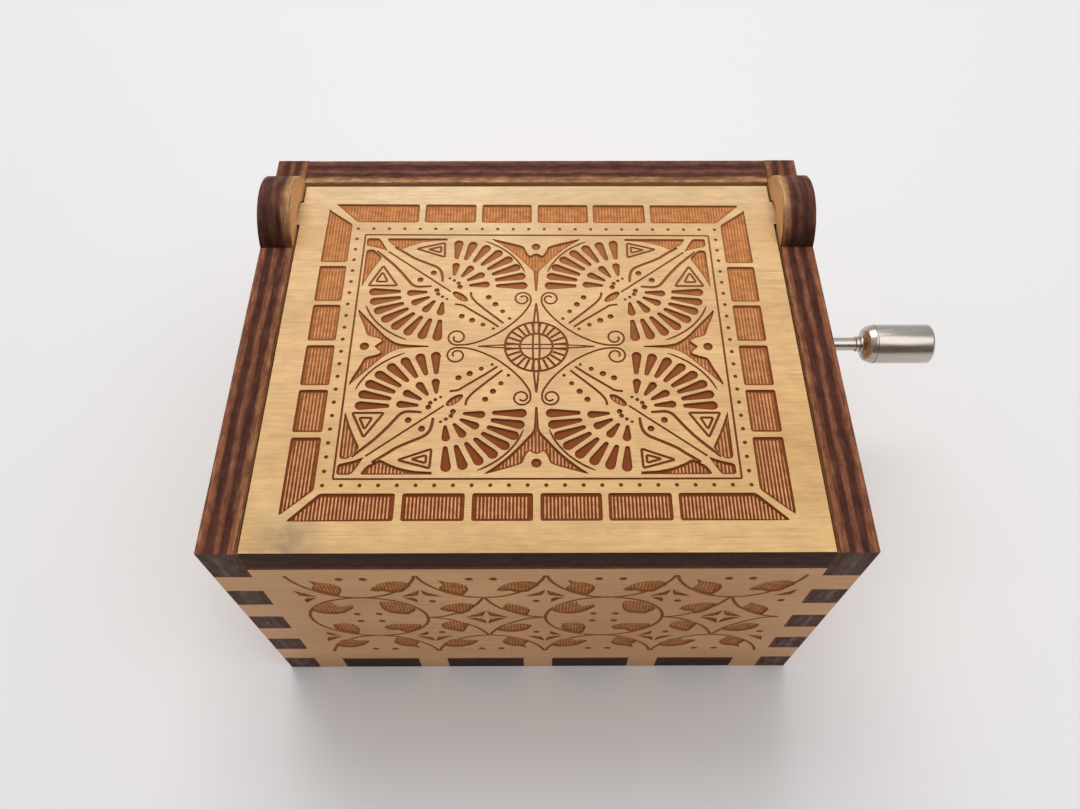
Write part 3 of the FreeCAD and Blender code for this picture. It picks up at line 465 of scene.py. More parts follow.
def cut_panel(piece, node, corner, right_way, up_way, outline, holes=(), marks=(), sinks=(), body="case",
              face=wall_face, engraved=(wall_floor, wall_burn), char=0.0):
    """One laser-cut panel.  Its sheet is laid with the sheet's zero at corner, its first axis along
    right_way and its second along up_way; the cross of the two points out of the engraved face.
    Engraved is the materials of its marks' floors and walls.  A sink is the width and depth of a
    hole's countersink.  Char is how black its edges are cut; they are blackest on curves, where the
    beam goes slowly."""
    outline = np.asarray(outline, float)
    outline = outline if area(outline) > 0 else outline[::-1]
    holes = [hole if area(hole) < 0 else hole[::-1] for hole in map(np.asarray, holes)]
    sinks = list(sinks) + [None] * (len(holes) - len(sinks))
    tops = [shifted(hole, -sink[0] if sink else EDGE_BREAK) for hole, sink in zip(holes, sinks)]
    points, depth, burn, triangles, kind = triangulate(shifted(outline, EDGE_BREAK), tops, marks)
    bottoms = [shifted(hole, EDGE_BREAK) for hole in holes]
    under, _, _, back, _ = triangulate(shifted(outline, EDGE_BREAK), bottoms, [])
    parts = [(np.column_stack([points, depth, burn]), triangles, points[triangles].reshape(-1, 2), kind,
              np.zeros((len(triangles), 2))),
             (np.column_stack([under, np.full(len(under), PLY), np.zeros(len(under))]), back[:, ::-1],
              under[back[:, ::-1]].reshape(-1, 2) + BACK_GRAIN, np.zeros(len(back), int),
              np.zeros((len(back), 2)))]
    corner, right_way, up_way = (np.array(v, float) for v in (corner, right_way, up_way))
    outward = np.cross(right_way, up_way)
    rows = [(EDGE_BREAK, 0), (0, EDGE_BREAK), (0, PLY - EDGE_BREAK), (EDGE_BREAK, PLY)]
    for loop, sink in [(outline, None)] + list(zip(holes, sinks)):
        own = [(-sink[0], 0), (0, sink[1])] + rows[2:] if sink else rows
        ring, quads, spans, sort = wall_rows(loop, own)
        # Painted shade: how squarely each edge faces the front, which blends it towards the shaded front
        # tones.
        front_shade = np.clip(-sort[:, 0] * right_way[1] - sort[:, 1] * up_way[1], 0, 1) ** 2
        parts.append((np.column_stack([ring, np.zeros(len(ring))]), quads, spans, np.full(len(quads), 3),
                      np.column_stack([np.maximum(char, CURVE_CHAR * sort[:, 2]), front_shade])))
    offsets = np.cumsum([0] + [len(part[0]) for part in parts])
    flat = np.vstack([part[0] for part in parts])
    placed = corner + flat[:, :1] * right_way + flat[:, 1:2] * up_way - flat[:, 2:3] * outward
    welded, first, where = np.unique(np.round(placed, 4), axis=0, return_index=True, return_inverse=True)
    faces = [where.ravel()[part[1] + offset] for part, offset in zip(parts, offsets)]
    made = build_mesh(piece, welded, [corners for group in faces for corners in group.tolist()],
                      [face, *engraved, cut_edge], np.concatenate([part[3] for part in parts]))
    uv = made.data.uv_layers.new(name="sheet")
    uv.data.foreach_set("uv", np.vstack([part[2] for part in parts]).astype(np.float32).ravel())
    edge_sort = np.vstack([part[4] for part in parts])
    for name, values, domain in (
            ("cut", flat[first, 2] / ENGRAVED, "POINT"), ("scorch", flat[first, 3], "POINT"),
            ("char", edge_sort[:, 0], "FACE"), ("front_shade", edge_sort[:, 1], "FACE")):
        made.data.attributes.new(name, "FLOAT", domain).data.foreach_set("value", values.astype(np.float32))
    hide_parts(node)
    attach(made, body)


# ---------------------------------------------------------------------------- the case's walls
# Front, back and side walls with interlocking fingers, glued at the corners and round the bottom
# panel's tabs.  Front, back and sides are engraved with one leafy vine.

LENGTH = (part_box("bottom_panel")[1].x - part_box("bottom_panel")[0].x) / MM
WIDTH = (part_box("bottom_panel")[1].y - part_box("bottom_panel")[0].y) / MM
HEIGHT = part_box("back_panel")[1].z / MM
FRONT_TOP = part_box("front_panel")[1].z / MM
FINGER = 4.05
TAB, TAB_PITCH = 9.5, 13.25
EAR_RADIUS, HINGE_HOLE, HINGE_SETBACK = 5.7, 2.722, 8.9
CRANK_HOLE, CRANK_CLEAR = 1.65, 0.6
inner_x, inner_y = LENGTH / 2 - PLY, WIDTH / 2 - PLY
hinge = (WIDTH / 2 - HINGE_SETBACK, HEIGHT - PLY / 2)


def tab_spans(half_length):
    """Both ends of each bottom tab along a wall, the tabs centred on it at their pitch."""
    count = int(2 * half_length / TAB_PITCH)
    middles = (np.arange(count) - (count - 1) / 2) * TAB_PITCH
    return [(middle - TAB / 2, middle + TAB / 2) for middle in middles]


def teeth(spans, low, high):
    """An edge that goes from one level out to another and back at each span, along its first axis."""
    return [corner for a, b in spans for corner in ((a, low), (a, high), (b, high), (b, low))]


def swapped(corners, side=1):
    """Corners with their two axes exchanged, the first one times side."""
    return [(side * y, x) for x, y in corners]


finger_spans = [((2 * i + 1) * FINGER, (2 * i + 2) * FINGER) for i in range(int(FRONT_TOP / (2 * FINGER)))]


def foot(half, half_length):
    """A wall's lower edge, notched where the bottom's tabs come through."""
    return [(-half, 0), *teeth(tab_spans(half_length), 0, PLY), (half, 0)]


def end_outline(top):
    """Front or back wall: its fingers reach the sides' outer faces."""
    side = teeth(finger_spans, inner_x, LENGTH / 2)
    return [*foot(inner_x, inner_x), *swapped(side), (inner_x, top), (-inner_x, top),
            *swapped(side[::-1], -1)]


def arc(centre, radii, start, end, count):
    """Points on an ellipse from one angle to another, in degrees."""
    angle = np.radians(np.linspace(start, end, count))
    return np.column_stack([centre[0] + radii[0] * np.cos(angle), centre[1] + radii[1] * np.sin(angle)])


def round_loop(centre, radius, count):
    """A closed circle."""
    return arc(centre, (radius, radius), 0, 360 - 360 / count, count)


def side_outline(mirror):
    """Side wall with its round ear; mirror is -1 where the sheet's first axis runs to the front."""
    lean = math.degrees(math.asin((HEIGHT - hinge[1]) / EAR_RADIUS))
    ear = arc(hinge, (EAR_RADIUS, EAR_RADIUS), lean, 180 - lean, 40).tolist()
    side = teeth(finger_spans, WIDTH / 2, inner_y)
    loop = [*foot(WIDTH / 2, inner_y), *swapped(side), (WIDTH / 2, HEIGHT), *ear, (-WIDTH / 2, HEIGHT)]
    return np.array(loop + swapped(side[::-1], -1)) * (mirror, 1)


def curve(points, count=8):
    """A smooth path through points: a Catmull-Rom spline with count steps between each two."""
    points = np.asarray(points, float)
    padded = np.vstack([2 * points[0] - points[1], points, 2 * points[-1] - points[-2]])
    t = np.linspace(0, 1, count, endpoint=False)[:, None]
    a, b, c, d = (padded[i:len(points) - 1 + i, None] for i in range(4))
    spans = 0.5 * (2 * b + (c - a) * t + (2 * a - 5 * b + 4 * c - d) * t ** 2
                   + (3 * b - a - 3 * c + d) * t ** 3)
    return np.vstack([spans.reshape(-1, 2), points[-1:]])


def rounded(corners, radius, count=5):
    """A closed loop with each corner replaced by a curve of the given reach: a quadratic Bezier
    from the edge before to the edge after, with the corner as its middle control."""
    corners = np.asarray(corners, float)
    before = np.roll(corners, 1, axis=0) - corners
    after = np.roll(corners, -1, axis=0) - corners
    reach = np.broadcast_to(np.asarray(radius, float), (len(corners),))[:, None]
    start = corners + before / np.linalg.norm(before, axis=1, keepdims=True) * reach
    end = corners + after / np.linalg.norm(after, axis=1, keepdims=True) * reach
    t = np.linspace(0, 1, count)[None, :, None]
    bend = (1 - t) ** 2 * start[:, None] + 2 * t * (1 - t) * corners[:, None] + t ** 2 * end[:, None]
    return bend.reshape(-1, 2)


def pocket(loop, outline):
    """An engraved area: its rim, its floor inside a sloped wall, and the clean part of the floor
    inside a burnt outline of the given width."""
    loop = np.asarray(loop, float)
    loop = loop if area(loop) > 0 else loop[::-1]
    return loop, inset(loop, SLOPE, 0.25), inset(loop, SLOPE + outline, 0.45)


def ribbon(path, width, ends=1.0):
    """A line engraved along a path, its width at both ends the given share of that at the middle.
    Its floor is half as wide and ends short of the line by a fifth of the width."""
    path = np.asarray(path, float)
    way = np.gradient(path, axis=0)
    way = way / np.maximum(np.linalg.norm(way, axis=1, keepdims=True), 1e-9)
    left = np.column_stack([-way[:, 1], way[:, 0]])
    swell = np.minimum(1, 3 * np.sin(np.linspace(0, np.pi, len(path))))
    half = (width / 2 * (ends + (1 - ends) * swell))[:, None]
    rim = np.vstack([path - left * half, (path + left * half)[::-1]])
    end = 0.4 * half[0] / max(np.linalg.norm(path[1] - path[0]), 1e-9)
    inner = np.vstack([path[0] + (path[1] - path[0]) * end, path[1:-1],
                       path[-1] + (path[-2] - path[-1]) * end])
    floor = np.vstack([inner - left * half * 0.5, (inner + left * half * 0.5)[::-1]])
    return rim, floor, None


def spot(centre, radius):
    """A small round mark, its floor paler and higher at its middle where it is large enough."""
    middle = round_loop(centre, radius * 0.5, SPOT_SIDES // 2) if radius > 0.3 else None
    return round_loop(centre, radius, SPOT_SIDES), round_loop(centre, radius * 0.72, SPOT_SIDES), middle


def spots(places):
    """Spots from triples of two coordinates and a radius."""
    return [spot((x, y), radius) for x, y, radius in places]


def moved(marks, scale=(1, 1), shift=(0, 0)):
    """Marks scaled about zero, by -1 to mirror them, and then shifted."""
    return [tuple(None if loop is None else loop * scale + shift for loop in mark) for mark in marks]


def mirrored(marks):
    """Marks with their mirror images over both axes."""
    both = marks + moved(marks, (-1, 1))
    return both + moved(both, (1, -1))


VINE_PERIOD, VINE_MIDDLE, VINE_PEAK = 25.9, 19.8, 6.35
VINE_LOW, VINE_HIGH = 5.0, FRONT_TOP - 0.8
CIRCLE_RADIUS, STEM = 6.45, 0.38
STAR_EDGE, LEAF_EDGE, LEAF_GROWTH = 0.08, 0.05, 1.07


def stems(half, top):
    """A quarter of the vine's stems: the circle, the curves that swing up between two dips, dots, and
    the pieces of the stars between them."""
    rise = [(0, 0), (1.2, 0.15), (2.3, 0.55), (3.4, 1.25), (4.4, 2.25), (5.2, 3.3), (5.8, 4.4), (6.15, 5.3),
            (6.4, VINE_PEAK)]
    swing = [(x, top + z) for x, z in rise]
    side = [(half, 0.0), (7.6, 0.2), (8.6, 0.6), (9.65, 1.4), (10.6, 2.3), (11.5, 3.3), (12.15, 4.5),
            (12.6, 5.6), (2 * half - 0.09, top)]
    marks = [ribbon(arc((0, 0), (top, top), -4, 94, 24), STEM)]
    marks += [ribbon(curve(path, 5), STEM) for path in (swing, [(2 * half - x, z) for x, z in swing], side)]
    marks += spots([(1.2, 1.2, 0.4), (1.2, 11.8, 0.42), (2 * half - 1.2, 11.8, 0.42), (half + 1.0, 5.3, 0.4)])
    star = np.array([(0.06, 2.15), (2.35, 0.06), (1.2, 0.2), (0.43, 0.43), (0.2, 1.2)])
    small = [star * (side * 0.92, 0.92) + (half, 6.7) for side in (-1, 1)]
    lower = [(half - 2.0, 6.5), (half - 0.9, 6.4), (half - 0.55, 5.9), (half - 0.6, 4.95), (half - 1.25, 5.7)]
    return marks + [pocket(loop, STAR_EDGE) for loop in (star * (-1, 1) + (2 * half, 0), *small, lower)]


def leaves(half):
    """The vine's leaves for one repeat, about the circle's middle, each from the hooked tip round."""
    top_left = [(-4.27, 11.4), (-3.44, 10.9), (-2.4, 10.6), (-1.67, 9.8), (-1.56, 8.9), (-1.88, 7.9),
                (-2.3, 7.15), (-3.2, 7.7), (-4.2, 8.5), (-4.35, 9.3), (-3.96, 10.2)]
    top_right = [(1.56, 8.6), (1.8, 9.3), (2.6, 10.4), (3.65, 11.0), (4.9, 11.0), (5.65, 10.2), (5.1, 9.1),
                 (4.5, 8.2), (3.4, 8.1), (2.8, 8.5), (2.2, 8.4)]
    circle = [
        [(-3.0, 4.05), (-2.3, 3.7), (-1.46, 4.15), (-1.35, 3.3), (-1.9, 2.5), (-2.7, 1.65), (-3.75, 1.3),
         (-5.0, 1.65), (-5.7, 2.5), (-5.4, 3.4), (-4.3, 4.5), (-3.2, 4.9)],
        [(1.98, 5.1), (1.88, 4.1), (1.98, 2.9), (2.5, 1.75), (3.4, 1.4), (4.3, 1.2), (4.7, 1.65),
         (5.1, 2.2), (5.3, 2.9), (4.9, 3.6), (3.9, 4.7), (2.9, 5.1)],
        [(-4.4, -2.3), (-3.1, -2.0), (-2.2, -2.5), (-1.9, -3.6), (-2.0, -4.6), (-2.3, -5.75), (-3.1, -5.4),
         (-4.1, -4.7), (-4.5, -3.7)],
        [(1.25, -3.8), (1.46, -2.9), (2.5, -2.3), (3.96, -2.3), (5.2, -2.5), (5.2, -3.5), (4.7, -4.4),
         (4.2, -4.9), (3.4, -5.2), (2.7, -4.4), (1.8, -4.4)]]
    diamond = [
        [(-4.85, 2.7), (-4.4, 3.7), (-3.4, 4.3), (-2.35, 4.6), (-1.3, 4.1), (-1.7, 2.5), (-2.6, 1.4),
         (-3.2, 1.2), (-3.4, 1.85), (-4.2, 2.1)],
        [(2.5, 4.6), (3.3, 4.0), (4.1, 3.4), (4.7, 2.5), (4.5, 1.2), (4.3, 0.6), (3.3, 1.2), (2.2, 2.3),
         (2.0, 3.3), (2.2, 3.9)],
        [(-5.2, -3.4), (-5.1, -2.3), (-4.2, -1.5), (-3.2, -1.7), (-2.35, -2.5), (-2.6, -3.8), (-3.0, -5.0),
         (-3.8, -4.8), (-4.85, -4.0)],
        [(1.0, -4.6), (1.4, -3.8), (2.4, -2.9), (3.3, -2.3), (4.7, -2.7), (4.7, -3.6), (4.1, -4.6),
         (2.9, -5.2), (1.8, -5.0)]]
    row = [np.array(leaf) + (shift, 0) for leaf in (top_left, top_right) for shift in (0, 2 * half)]
    loops = row + [leaf * (-1, -1) for leaf in row] + [np.array(leaf) for leaf in circle]
    loops += [np.array(leaf) + (2 * half, 0) for leaf in diamond]
    grown = [leaf.mean(axis=0) + (leaf - leaf.mean(axis=0)) * LEAF_GROWTH for leaf in loops]
    return [pocket(curve(np.vstack([leaf, leaf[:1]]), 3)[:-1], LEAF_EDGE) for leaf in grown]


def vine(left, right_end, phase):
    """The vine along a wall: one repeat after another, each mark kept only where it fits whole."""
    half = VINE_PERIOD / 4
    repeat = mirrored(stems(half, CIRCLE_RADIUS)) + leaves(half)
    all_marks = [mark for count in range(-2, 3)
                 for mark in moved(repeat, shift=(phase + count * VINE_PERIOD, VINE_MIDDLE))]
    return [mark for mark in all_marks
            if (mark[0] > (left, VINE_LOW)).all() and (mark[0] < (right_end, VINE_HIGH)).all()]


end_vine = vine(-26.4, 26.9, 7.3)
side_vine = vine(-20.5, 20.5, 0.0)
cut_panel("front_wall", "front_panel", (0, -WIDTH / 2, 0), (1, 0, 0), (0, 0, 1), end_outline(FRONT_TOP),
          marks=end_vine, char=0.3)
cut_panel("back_wall", "back_panel", (0, WIDTH / 2, 0), (-1, 0, 0), (0, 0, 1), end_outline(HEIGHT),
          marks=end_vine, char=0.6)

crank_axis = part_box("worm_shaft")
crank_y = (crank_axis[0].y + crank_axis[1].y) / 2 / MM
crank_z = (crank_axis[0].z + crank_axis[1].z) / 2 / MM
clear_of_hole = [mark for mark in side_vine
                 if np.linalg.norm(mark[0] - (crank_y, crank_z), axis=1).min() > CRANK_HOLE + CRANK_CLEAR]
cut_panel("right_wall", "right_panel", (LENGTH / 2, 0, 0), (0, 1, 0), (0, 0, 1), side_outline(1),
          [round_loop(hinge, HINGE_HOLE, 48), round_loop((crank_y, crank_z), CRANK_HOLE, 32)], clear_of_hole,
          char=0.05)
cut_panel("left_wall", "left_panel", (-LENGTH / 2, 0, 0), (0, -1, 0), (0, 0, 1), side_outline(-1),
          [round_loop((-hinge[0], hinge[1]), HINGE_HOLE, 48)], side_vine, char=0.1)


# ---------------------------------------------------------------------------- the bottom
# The floor of the case: a panel whose tabs come out through all four walls, with two countersunk
# holes for the screws that hold the movement.

SCREW_HEAD = 2.2
SINK_RADIUS, SHANK_HOLE, SINK_DEPTH = 2.5, 1.2, 1.5

front_tabs = teeth(tab_spans(inner_x), -inner_y, -WIDTH / 2)
side_tabs = swapped(teeth(tab_spans(inner_y), inner_x, LENGTH / 2))
half_bottom = [(-inner_x, -inner_y), *front_tabs, (inner_x, -inner_y), *side_tabs]
screw_low, screw_high = (np.array(corner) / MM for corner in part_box("bedplate_screws"))
screw_spots = [(screw_high[0] - SCREW_HEAD, screw_low[1] + SCREW_HEAD),
               (screw_low[0] + SCREW_HEAD, screw_high[1] - SCREW_HEAD)]
cut_panel("case_floor", "bottom_panel", (0, 0, 0), (1, 0, 0), (0, -1, 0),
          half_bottom + [(-x, -y) for x, y in half_bottom],
          [round_loop((x, -y), SHANK_HOLE, 32) for x, y in screw_spots],
          sinks=[(SINK_RADIUS - SHANK_HOLE, SINK_DEPTH)] * 2, char=0.6)


# ---------------------------------------------------------------------------- the lid
# One panel whose two square tabs turn in the ears.  Its ornament is engraved in a field with a
# border of hatched blocks: corner spears, fans, winged motifs and a scrolled star with a rosette.

HINGE_TAB, LID_GAP = 3.7, 0.2
FINE, LINE, SWEEP = 0.22, 0.27, 0.34
BLOCK_EDGE, PETAL_EDGE, MOTIF_EDGE = 0.2, 0.3, 0.14
FIELD_CENTRE = np.array([-0.1, -2.25])
LEFT, RIGHT, FRONT, BACK = -24.75, 24.73, -22.7, 18.65      # the border's outer edges
BLOCK_DEPTH = 2.95
SKEW, SKEW_FROM, SKEW_TO = 0.36, np.array([LEFT, FRONT]), np.array([RIGHT, BACK])
SMUDGE, SMUDGE_FADE = (-0.0236, -0.0249, 0.0382), 330.0

lid_low, lid_high = (np.array(corner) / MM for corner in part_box("lid_panel"))
lid_side = inner_x - LID_GAP
tab_front, tab_back = hinge[0] - HINGE_TAB / 2, hinge[0] + HINGE_TAB / 2
lid_right = [(lid_side, lid_low[1]), (lid_side, tab_front), (lid_high[0], tab_front), (lid_high[0], tab_back),
             (lid_side, tab_back), (lid_side, lid_high[1])]
lid_outline = lid_right + [(-x, y) for x, y in reversed(lid_right)]


def closed_line(loop, width):
    """A line engraved along a closed loop, as two ribbons that overlap at both ends."""
    loop = np.asarray(loop, float)
    half = len(loop) // 2
    return [ribbon(loop[:half + 2], width), ribbon(np.vstack([loop[half:], loop[:2]]), width)]


def border():
    """Hatched blocks round the field, with mitred ones at the corners, a row of dots and a fine line."""
    blocks = []
    for outer, inner, along in ((BACK, BACK - BLOCK_DEPTH, 0.0), (FRONT, FRONT + BLOCK_DEPTH, 0.18)):
        for a, b in ((-13.25, -7.2), (-6.5, -0.6), (0.1, 6.05), (6.65, 12.8)):
            blocks.append([(a + along, outer), (b + along, outer), (b + along, inner), (a + along, inner)])
        blocks.append([(-24.0, outer), (along - 13.95, outer), (along - 13.95, inner), (-21.1, inner)])
        blocks.append([(24.15, outer), (along + 13.45, outer), (along + 13.45, inner), (21.15, inner)])
    for outer, inner in ((LEFT, -21.7), (RIGHT, 21.6)):
        for a, b in ((3.9, 9.0), (-1.5, 3.4), (-7.25, -2.1), (-12.9, -7.8)):
            blocks.append([(outer, a), (inner, a), (inner, b), (outer, b)])
        blocks.append([(outer, 17.9), (inner, 15.4), (inner, 9.55), (outer, 9.55)])
        blocks.append([(outer, -22.15), (inner, -19.4), (inner, -13.5), (outer, -13.5)])
    marks = [pocket(rounded(block, 0.3), BLOCK_EDGE) for block in blocks]
    marks += [spot((x, y), 0.21) for y in (14.7, -18.9) for x in np.linspace(-20.95, 20.85, 24)]
    marks += [spot((x, y), 0.22) for x in (-20.95, 20.8) for y in np.linspace(13.1, -17.35, 20)]
    return marks + closed_line(rounded([(-20, -18.2), (20, -18.2), (20, 13.75), (-20, 13.75)], 0.15), FINE)


def petal(centre, angle, near, far, narrow, wide):
    """A fan's petal: a wedge with round ends between two ellipses, along the ray at one angle of both."""
    ray = np.array([math.cos(angle), math.sin(angle)])
    start, end = near * ray, far * ray
    way = (end - start) / np.linalg.norm(end - start)
    side = np.array([-way[1], way[0]])
    turn = np.linspace(0, np.pi, 7)[:, None]
    outer = end - way * wide / 2 + way * wide / 2 * np.sin(turn) + side * wide / 2 * np.cos(turn)
    inner = start + way * narrow / 2 - way * narrow / 2 * np.sin(turn) - side * narrow / 2 * np.cos(turn)
    return pocket(np.array(centre) + np.vstack([outer, inner]), PETAL_EDGE)


def fan(centre, side, reach):
    """Eight long petals round four short ones and four dots, on rays that turn to the given side from
    the level one, between ellipses of the same shape, with a thin arc of the given reach outside."""
    squeeze = np.array([1.0, 0.815])
    rows = (1, 12.2, 8, 4.88, 8.48, 0.52, 1.08), (5, 26.7, 4, 1.9, 4.25, 0.4, 0.9)
    marks = [petal(centre, side * math.radians(first + step * turn), near * squeeze, far * squeeze,
                   narrow, wide)
             for first, step, count, near, far, narrow, wide in rows for turn in range(count)]
    for angle, away, radius in ((-6, 0.9, 0.31), (31, 0.84, 0.26), (75, 0.85, 0.21), (105, 1.18, 0.17)):
        turn = side * math.radians(angle)
        marks.append(spot(np.array(centre) + (away * math.cos(turn), away * math.sin(turn)), radius))
    marks.append(ribbon(arc(centre, (reach, 7.42), side * 16, side * 65, 24), FINE, 0.4))
    return marks


def volute(centre, radius, start, turn):
    """A spiral from the angle start through turn degrees, its radius falling to a third, ever faster."""
    t = np.linspace(0, 1, 40)
    angle = np.radians(start + turn * t)
    reach = radius * (1 - 0.7 * t ** 1.8)
    return np.column_stack([centre[0] + reach * np.cos(angle), centre[1] + reach * np.sin(angle)])


def spear():
    """The corner spear: its shaft and bud, three pockets at its head, two sweeps and two dots by them."""
    lean = np.array([[0.787, 0.617], [-0.617, 0.787]])      # a turn of 38.1 degrees
    bud = arc((0, 0), (1.08, 0.45), 0, 337.5, 16) @ lean
    marks = [ribbon([(17.0, 13.42), (14.5, 11.45), (12.0, 9.48), (9.5, 7.5)], FINE),
             pocket(bud + (8.45, 6.83), 0.12)]
    marks += [pocket(rounded(corners, radii), MOTIF_EDGE) for corners, radii in (
        ([(19.65, 15.48), (18.2, 15.48), (17.75, 14.75), (17.1, 13.5), (18.1, 13.9), (18.8, 14.1),
          (19.65, 14.3)], [0.3, 0.3, 0.2, 0.05, 0.25, 0.25, 0.35]),
        ([(17.35, 15.47), (16.85, 14.6), (15.95, 13.9), (15.4, 13.78), (14.7, 14.2), (13.5, 14.72),
          (12.0, 15.06), (10.25, 15.17), (10.25, 15.47)], [0.3, 0.3, 0.25, 0.2, 0.25, 0.4, 0.4, 0.08, 0.08]),
        ([(19.58, 8.2), (19.58, 13.72), (18.75, 13.75), (18.2, 13.25), (17.65, 12.45), (18.3, 11.2),
          (18.9, 9.9), (19.28, 8.9)], [0.06, 0.45, 0.35, 0.3, 0.25, 0.4, 0.3, 0.2]))]
    marks += [ribbon(curve(path), SWEEP, 0.8) for path in (
        [(16.3, 14.1), (15.0, 13.2), (13.9, 12.4), (12.3, 11.6), (11.35, 11.12), (10.85, 10.6),
         (10.62, 9.9), (10.53, 8.95)],
        [(18.35, 13.5), (17.2, 12.4), (16.1, 11.3), (15.1, 10.1), (14.4, 9.15), (13.9, 8.52), (13.2, 8.22),
         (11.73, 8.3)])]
    return marks + spots([(11.6, 10.25, 0.36), (13.04, 9.23, 0.36)])


def corner_ornament():
    """Everything in the field's upper right quarter, about the field's centre."""
    marks = moved(fan((-9.43, 8.3), 1, 8.45), (-1, 1)) + fan((10.2, 7.6), -1, 8.95) + spear()
    marks += [ribbon(curve(path), LINE) for path in (
        [(7.29, 7.46), (7.18, 6.82), (6.73, 6.12), (5.83, 5.19), (4.72, 4.15), (3.57, 3.1)],
        [(9.0, 5.75), (8.15, 5.6), (7.64, 5.25), (6.53, 4.45), (5.28, 3.55), (4.1, 2.62)])]
    marks += spots([(5.28, 6.73, 0.33), (4.5, 5.75, 0.34), (3.69, 4.75, 0.28), (2.92, 3.75, 0.2),
                    (8.16, 4.06, 0.34), (7.0, 3.52, 0.35), (5.8, 2.91, 0.28), (4.66, 2.36, 0.18)])
    for corners in (
            [(13.74, 13.85), (10.55, 14.78), (10.48, 12.6)], [(12.4, 13.75), (10.95, 14.2), (10.95, 13.3)],
            [(17.4, 11.25), (18.8, 8.38), (15.6, 8.38)], [(17.4, 10.3), (18.02, 8.96), (16.72, 8.96)]):
        marks += closed_line(rounded(corners, 0.22), 0.28)
    top, side = volute((1.5, 6.52), 0.9, 180, -500), volute((8.53, 1.16), 0.98, -90, 480)
    sweep = [(0.66, 5.85), (1.08, 5.0), (1.8, 3.97), (2.9, 2.8), (4.3, 1.65), (5.97, 0.72), (7.4, 0.25)]
    between = curve(np.vstack([top[:1], sweep, side[:1]]))[1:-1]
    marks.append(ribbon(np.vstack([top[::-1], between, side]), FINE))
    return marks


def winged(wing, way, eye, radius):
    """A winged motif, one half along its outline and the other mirrored by way, and its round eye."""
    half = curve(wing, 3)
    return [pocket(np.vstack([half, (half * way)[-2::-1]]), MOTIF_EDGE), spot(eye, radius)]


upper = winged(
    [(0.11, 7.66), (0.16, 8.3), (0.22, 9.4), (0.28, 10.25), (0.5, 10.75), (1.1, 11.47), (1.95, 12.5),
     (3.0, 13.6), (4.15, 14.6), (5.14, 15.4), (3.97, 15.12), (2.78, 14.75), (1.75, 14.4), (1.35, 14.1),
     (1.1, 13.45), (0.82, 12.95), (0.6, 12.88), (0.35, 13.08), (0.0, 13.22)],
    (-1, 1), (0, 14.2), 0.53)
sideways = winged(
    [(11.53, 0.08), (12.2, 0.12), (13.3, 0.19), (14.3, 0.29), (15.2, 0.56), (16.3, 1.38), (17.25, 2.42),
     (18.2, 3.48), (18.95, 4.33), (19.6, 5.0), (19.3, 3.95), (18.75, 2.75), (18.4, 1.8), (18.1, 1.42),
     (17.4, 1.2), (16.8, 0.95), (16.65, 0.72), (16.95, 0.42), (17.25, 0.15), (17.33, 0.0)],
    (1, -1), (18.43, 0), 0.52)


def rosette():
    """Two rings with short rays between them, and two crossed needles of two bowed lines each."""
    marks = closed_line(arc((0, 0), (3.36, 3.22), 0, 352.5, 48), LINE)
    marks += closed_line(arc((0, 0), (1.78, 1.7), 0, 350, 36), LINE)
    for angle in np.radians(np.arange(7.5, 360, 15)):
        ray = np.array([math.cos(angle), 0.96 * math.sin(angle)])
        marks.append(ribbon([ray * 1.88, ray * 2.55, ray * 3.22], 0.28))
    t = np.linspace(-1, 1, 25)
    bow = 1 - t ** 2
    for sign in (-1, 1):
        marks.append(ribbon(np.column_stack([sign * 0.36 * bow, 5.92 * t]), 0.22))
        marks.append(ribbon(np.column_stack([6.25 * t, sign * 0.27 * bow]), 0.17))
    return marks


def askew(marks):
    """Marks on a sheet that lay a little askew: they fall away towards the right and the back, by up
    to SKEW at the back right corner, in proportion to the way from the left times that from the front."""
    def fallen(loop):
        ways = (loop - SKEW_FROM) / (SKEW_TO - SKEW_FROM)
        return loop - np.column_stack([np.zeros(len(loop)), SKEW * ways.prod(axis=1)])
    return [tuple(None if loop is None else fallen(loop) for loop in mark) for mark in marks]


wings = upper + moved(upper, (1, -1)) + sideways + moved(sideways, (-1, 1))
field = mirrored(corner_ornament()) + rosette() + wings

lid_floor = engraving("lid_floor", ((0.84, 0.45, 0.22), (0.21, 0.054, 0.013), (0.225, 0.058, 0.015)),
                      ((0.645, 0.287, 0.109), (0.53, 0.216, 0.079), (0.38, 0.140, 0.050)))
lid_burn = burnt("lid_burn", ((0.19, 0.052, 0.016), (0.30, 0.092, 0.03)),
                 ((0.32, 0.115, 0.041), (0.43, 0.168, 0.063)))
lid_face, tree, shader, tone = face_wood(
    "lid_face", (0.83, 0.545, 0.235), (0.69, 0.415, 0.155), (0.60, 0.33, 0.115), 0.5)
place = add(tree, "ShaderNodeTexCoord").outputs["Object"]
backward = add(tree, "ShaderNodeSeparateXYZ", {"Vector": place}).outputs["Y"]
# Painted sheen: the face is tinted a little darker at the front and paler and bluer towards the back,
# standing in for the window lamp's reflection on the back of the lid.
tone = tinted(tree, tone, spread(tree, backward, -0.024, 0.022),
              (0.0, (0.91, 0.91, 0.86)), (0.35, (0.97, 0.92, 0.90)),
              (0.75, (1.0, 1.0, 1.08)), (1.0, (1.06, 1.21, 1.6)))
tone = tinted(tree, tone, sheet_noise(tree, 0.35, 0.8, 4.0, 0.62, 19.0),
              (0.36, (0.90, 0.88, 0.85)), (0.64, (1.03, 1.02, 1.0)))
off_smudge = add(tree, "ShaderNodeVectorMath", {0: place, 1: SMUDGE}, operation="DISTANCE").outputs["Value"]
near = calc(tree, "MULTIPLY_ADD", off_smudge, -SMUDGE_FADE, 1.35)
dirty = calc(tree, "MULTIPLY", near, sheet_noise(tree, 0.5, 0.7, 3.0, 0.6, 2.0), clamp=True)
paint(tree, shader, blend_colours(tree, dirty, tone, (0.24, 0.15, 0.085)))

